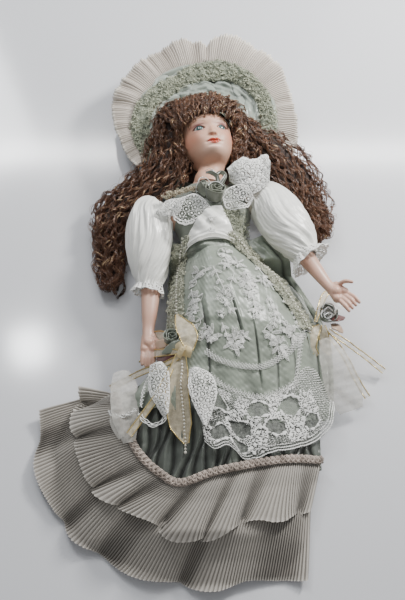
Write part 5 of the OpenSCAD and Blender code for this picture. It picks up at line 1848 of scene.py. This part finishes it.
def make_right_hip(sheer, veil, gold, sage, burgundy, peach, lace):
    """The doll's right hip, on the left of the picture."""
    bow = Organza()
    bow.add([(-22, -41, 50), (-18, -52, 57), (-12, -66, 62), (-11, -80, 60)], [2, 9, 15, 15, 6], cup=2.5)
    bow.add([(-18, -78, 57), (-32, -58, 40), (-42, -50, 26), (-52, -60, 18)], [3, 7, 9, 7, 3],
            twist=[0, 0.5, 0.8], cup=1.5)
    bow.add([(-18, -80, 58), (-34, -74, 44), (-45, -68, 27), (-54, -72, 18)], [3, 6, 7, 3], twist=[0.2, 0.6],
            cup=1.5)
    bow.build("right_hip_bow", sheer, gold, nodes=("right_bow",))
    knot = Organza()
    knot.add([(-22, -76, 55), (-18, -75, 60), (-13, -79, 61), (-14, -84, 57)], [7, 9, 8], cup=2, edge=False)
    knot.add([(-20, -84, 56), (-17, -78, 61), (-14, -73, 58)], [5, 8, 5], cup=2, twist=[0.4, 1.0],
             edge=False)
    knot.build("right_hip_knot", Finish("gold_knot", (0.68, 0.55, 0.30), rough=0.4, Sheen_Weight=0.3), gold)
    tails = Organza()
    tails.add([(-18, -82, 57.5), (-20, -98, 55), (-21, -118, 50.8), (-18, -140, 47), (-13, -156, 43.5)],
              [8, 16, 19, 20, 18, 4], cup=-8)
    tails.add([(-20, -84, 56), (-34, -88, 48), (-50, -88, 36), (-66, -92, 26), (-79, -97, 21)], [4, 5, 5, 5],
              cup=0.6)
    tails.add([(-26, -94, 56), (-36, -116, 54), (-46, -130, 50), (-60, -149, 45)], [4, 5, 5, 5],
              twist=[0.3, 0.1], cup=0.6)
    tails.build("right_organza_tails", sheer, gold, nodes=("right_organza_tail",))
    make_rose("right_rolled_rose", (-26, -63, 51), (0.1, 0.2, 0.95), 7.4, 8, sage, "right_satin_rose")
    leaf_mesh("right_sage_leaf", [(-18, -70, 56), (-26, -74, 53), (-34, -76, 47)], [5, 9, 7, 2], sage,
              "sage_satin")
    leaf_mesh("right_burgundy_leaf", [(-21, -80, 53), (-30, -80, 47), (-39, -76, 36)], [4, 9, 8, 2],
              burgundy, "sage_satin")
    leaf_mesh("right_peach_bud", [(-30, -66, 44), (-37, -63, 37), (-43, -62, 28)], [6, 9, 8, 3], peach,
              "gold_organza")
    puff = Organza()
    puff.add([(-70, -82, 22), (-66, -104, 36), (-64, -128, 42), (-60, -154, 40)], [14, 22, 24, 22, 10],
             cup=7, edge=False)
    puff.add([(-74, -98, 22), (-71, -115, 33), (-72, -135, 37), (-66, -150, 40)], [8, 10, 10, 6], cup=4,
             edge=False)
    puff.build("right_side_puff", veil, gold, slot="white_lace")
    lines = edge_lines([(-78, -125), (-71, -131), (-63, -131), (-55, -127)], 3, 5.5, 0.7)
    lines += edge_lines([(-52, -131), (-46, -139), (-38, -142), (-30, -136)], 4, 9, 0.5)
    lines += edge_lines([(-42, -92), (-48, -110), (-50, -126)], 2, 3, 0.8)
    piece = lace_threads("right_petal_edges", lines, 6.5, 0.4)
    place(piece, "torso", "white_lace", lace)
    lace_patch("right_petal_inner", [(-11, -97), (-12, -115), (-6, -132), (1, -147)],
               [(-3, -94), (7, -100), (12, -115), (8, -133), (3, -147)], 60, 57, lace, 4, hole=0.2,
               bulge=2.5)
    lace_patch("right_petal_outer", [(-44, -90), (-45, -112), (-36, -130), (-31, -137)],
               [(-34, -88), (-28, -98), (-27, -118), (-28, -134)], 52, 56, lace, 7,
               nodes=("side_lace_petals",), hole=0.2, bulge=2)


def make_left_hip(sheer, veil, gold, sage, burgundy, peach):
    """The doll's left hip, on the right of the picture."""
    bow = Organza()
    bow.add([(103, -38, 24), (97, -48, 29), (95, -60, 27), (100, -66, 22)], [3, 8, 9, 8, 3], cup=2)
    bow.add([(106, -38, 24), (106, -48, 24), (108, -57, 20), (112, -62, 15)], [3, 8, 9, 8, 3], cup=2)
    bow.add([(99, -36, 27), (104, -20, 25), (109, -6, 20), (116, 4, 15)], [2, 4, 5, 3], cup=0.6)
    bow.build("left_hip_bow", sheer, gold, nodes=("left_bow",))
    puffy = Organza()
    puffy.add([(108, -30, 26), (117, -16, 25), (124, -8, 18), (130, -12, 12)], [6, 16, 18, 10, 4], cup=5,
              edge=False)
    puffy.build("left_hip_puff", veil, gold)
    tails = Organza()
    tails.add([(108, -44, 22), (118, -56, 20), (126, -68, 15), (134, -84, 10), (143, -99, 6)],
              [4, 4.5, 4.5, 5], cup=0.5)
    tails.add([(110, -42, 22), (126, -52, 18), (142, -62, 12), (159, -74, 6)], [4, 4.5, 4.5, 5], cup=0.5)
    tails.add([(106, -52, 26), (114, -72, 24), (120, -90, 18), (128, -112, 8)], [10, 24, 30, 32, 22], cup=4,
              edge=False)
    tails.build("left_organza_tails", veil, gold, nodes=("left_organza_tail",))
    make_rose("left_rolled_rose", (110, -27, 25), (0.1, -0.1, 0.95), 9, 8, sage, "left_satin_rose",
              turns=2.6)
    swirl = [even([(105, -24, 30), (108, -20, 31), (114, -21, 31), (116, -26, 30)], 30),
             even([(106, -28, 30.5), (110, -24, 31.5), (114, -27, 30.5)], 30),
             even([(107, -31, 30), (111, -29, 31), (115, -31, 30)], 30)]
    verts, faces = threads(np.array(swirl), 0.7, 6, flat=0.5)
    place(build_mesh("left_rose_silver_edge", verts, faces), "torso", "metal",
          Finish("rose_silver", (0.78, 0.79, 0.77), rough=0.25, Metallic=0.3))
    leaf_mesh("left_burgundy_leaf", [(113, -33, 24), (119, -30, 23), (126, -27, 18)], [4, 9, 8, 2], burgundy,
              "sage_satin")
    leaf_mesh("left_peach_bud", [(113, -38, 22), (119, -38, 20), (124, -40, 15)], [6, 9, 8, 3], peach,
              "gold_organza")


def make_trims(lace):
    thread = yarn("band_popcorn_yarn", (0.58, 0.58, 0.45), (0.13, 0.145, 0.10))
    make_band("right", RIGHT_BAND, 6.8, "right_braid_band", thread)
    make_band("left", LEFT_BAND, 7.2, "left_braid_band", thread)
    make_hips(lace)


# ---------- stuffed body, legs, hat and fastenings ----------

def rounded_copy(name, node, body, slot, finish, voxel, rounds, wrinkle=0.0):
    """A rounded piece in the place of a plain solid of the frame, with sizes in mm."""
    piece = bpy.data.objects.new(name, bpy.data.objects[node].data.copy())
    bpy.context.collection.objects.link(piece)
    piece.data.materials.clear()
    remesh = piece.modifiers.new("skin", "REMESH")
    remesh.mode = "VOXEL"
    remesh.voxel_size = voxel * MM
    remesh.use_smooth_shade = True
    smooth = piece.modifiers.new("rounding", "SMOOTH")
    smooth.iterations = rounds
    if wrinkle:
        clouds = bpy.data.textures.new(name + "_wrinkles", "CLOUDS")
        clouds.noise_scale = 11 * MM
        crumple = piece.modifiers.new("wrinkles", "DISPLACE")
        crumple.texture = clouds
        crumple.strength = wrinkle * MM
    return place(piece, body, slot, finish, node)


def plain_finish(name, colour, tint, scale, rough, bump_mm, **sockets):
    """A finish with patches of a second colour and a fine grain."""
    finish = Finish(name, colour, rough=rough, **sockets)
    finish.tint(finish.ramp(finish.noise(scale), 0.35, 0.7, 0, 0.7), tint)
    finish.bump(finish.noise(scale * 14, 2), 0.4, bump_mm)
    return finish


def make_body(bisque):
    calico = plain_finish("calico_weave", (0.60, 0.55, 0.46), (0.48, 0.43, 0.35), 120, 0.85, 0.12,
                          Sheen_Weight=0.2)
    calico.bump(calico.stripes(0.5, "X"), 0.3, 0.06)
    for node, body in (("torso", "torso"), ("right_upper_arm", "right_arm"), ("left_upper_arm", "left_arm"),
                       ("right_thigh", "right_leg"), ("left_thigh", "left_leg")):
        piece = rounded_copy("stuffed_" + node, node, body, "calico", calico, 1.8, 8, 1.0)
    shoe = plain_finish("white_shoe_satin", (0.66, 0.66, 0.62), (0.52, 0.51, 0.46), 90, 0.4, 0.08,
                        Sheen_Weight=0.1)
    for side in ("right", "left"):
        rounded_copy(side + "_porcelain_leg", side + "_lower_leg", side + "_leg", "porcelain_limb", bisque,
                     0.9, 6)
        rounded_copy(side + "_satin_shoe", side + "_shoe", side + "_leg", "shoe_white", shoe, 0.8, 4)
    felt = plain_finish("hat_felt", (0.20, 0.23, 0.18), (0.13, 0.15, 0.12), 160, 0.95, 0.3, Sheen_Weight=0.5)
    steel = plain_finish("nickel_plate", (0.62, 0.61, 0.58), (0.42, 0.40, 0.37), 400, 0.28, 0.02,
                         Metallic=1.0)
    backing = plain_finish("sage_backing_cloth", (0.17, 0.19, 0.16), (0.12, 0.135, 0.11), 140, 0.8, 0.15,
                           Sheen_Weight=0.2)
    for finish, nodes in ((felt, ("hat_crown", "hat_brim")), (backing, ("skirt_back_panel",)),
                          (steel, ("neck_bolt", "neck_nut", "neck_washer", "bodice_snaps"))):
        for node in nodes:
            materials = bpy.data.objects[node].data.materials
            for k in range(len(materials)):
                materials[k] = finish.material


# ---------- the whole doll ----------

make_camera()
make_pearl_string()
make_room()
make_head()
make_hair()
make_hat()
make_frills()
make_underskirt()
make_overskirt()
lace = make_gown_lace()
bisque = make_upper(lace)
make_trims(lace)
make_body(bisque)
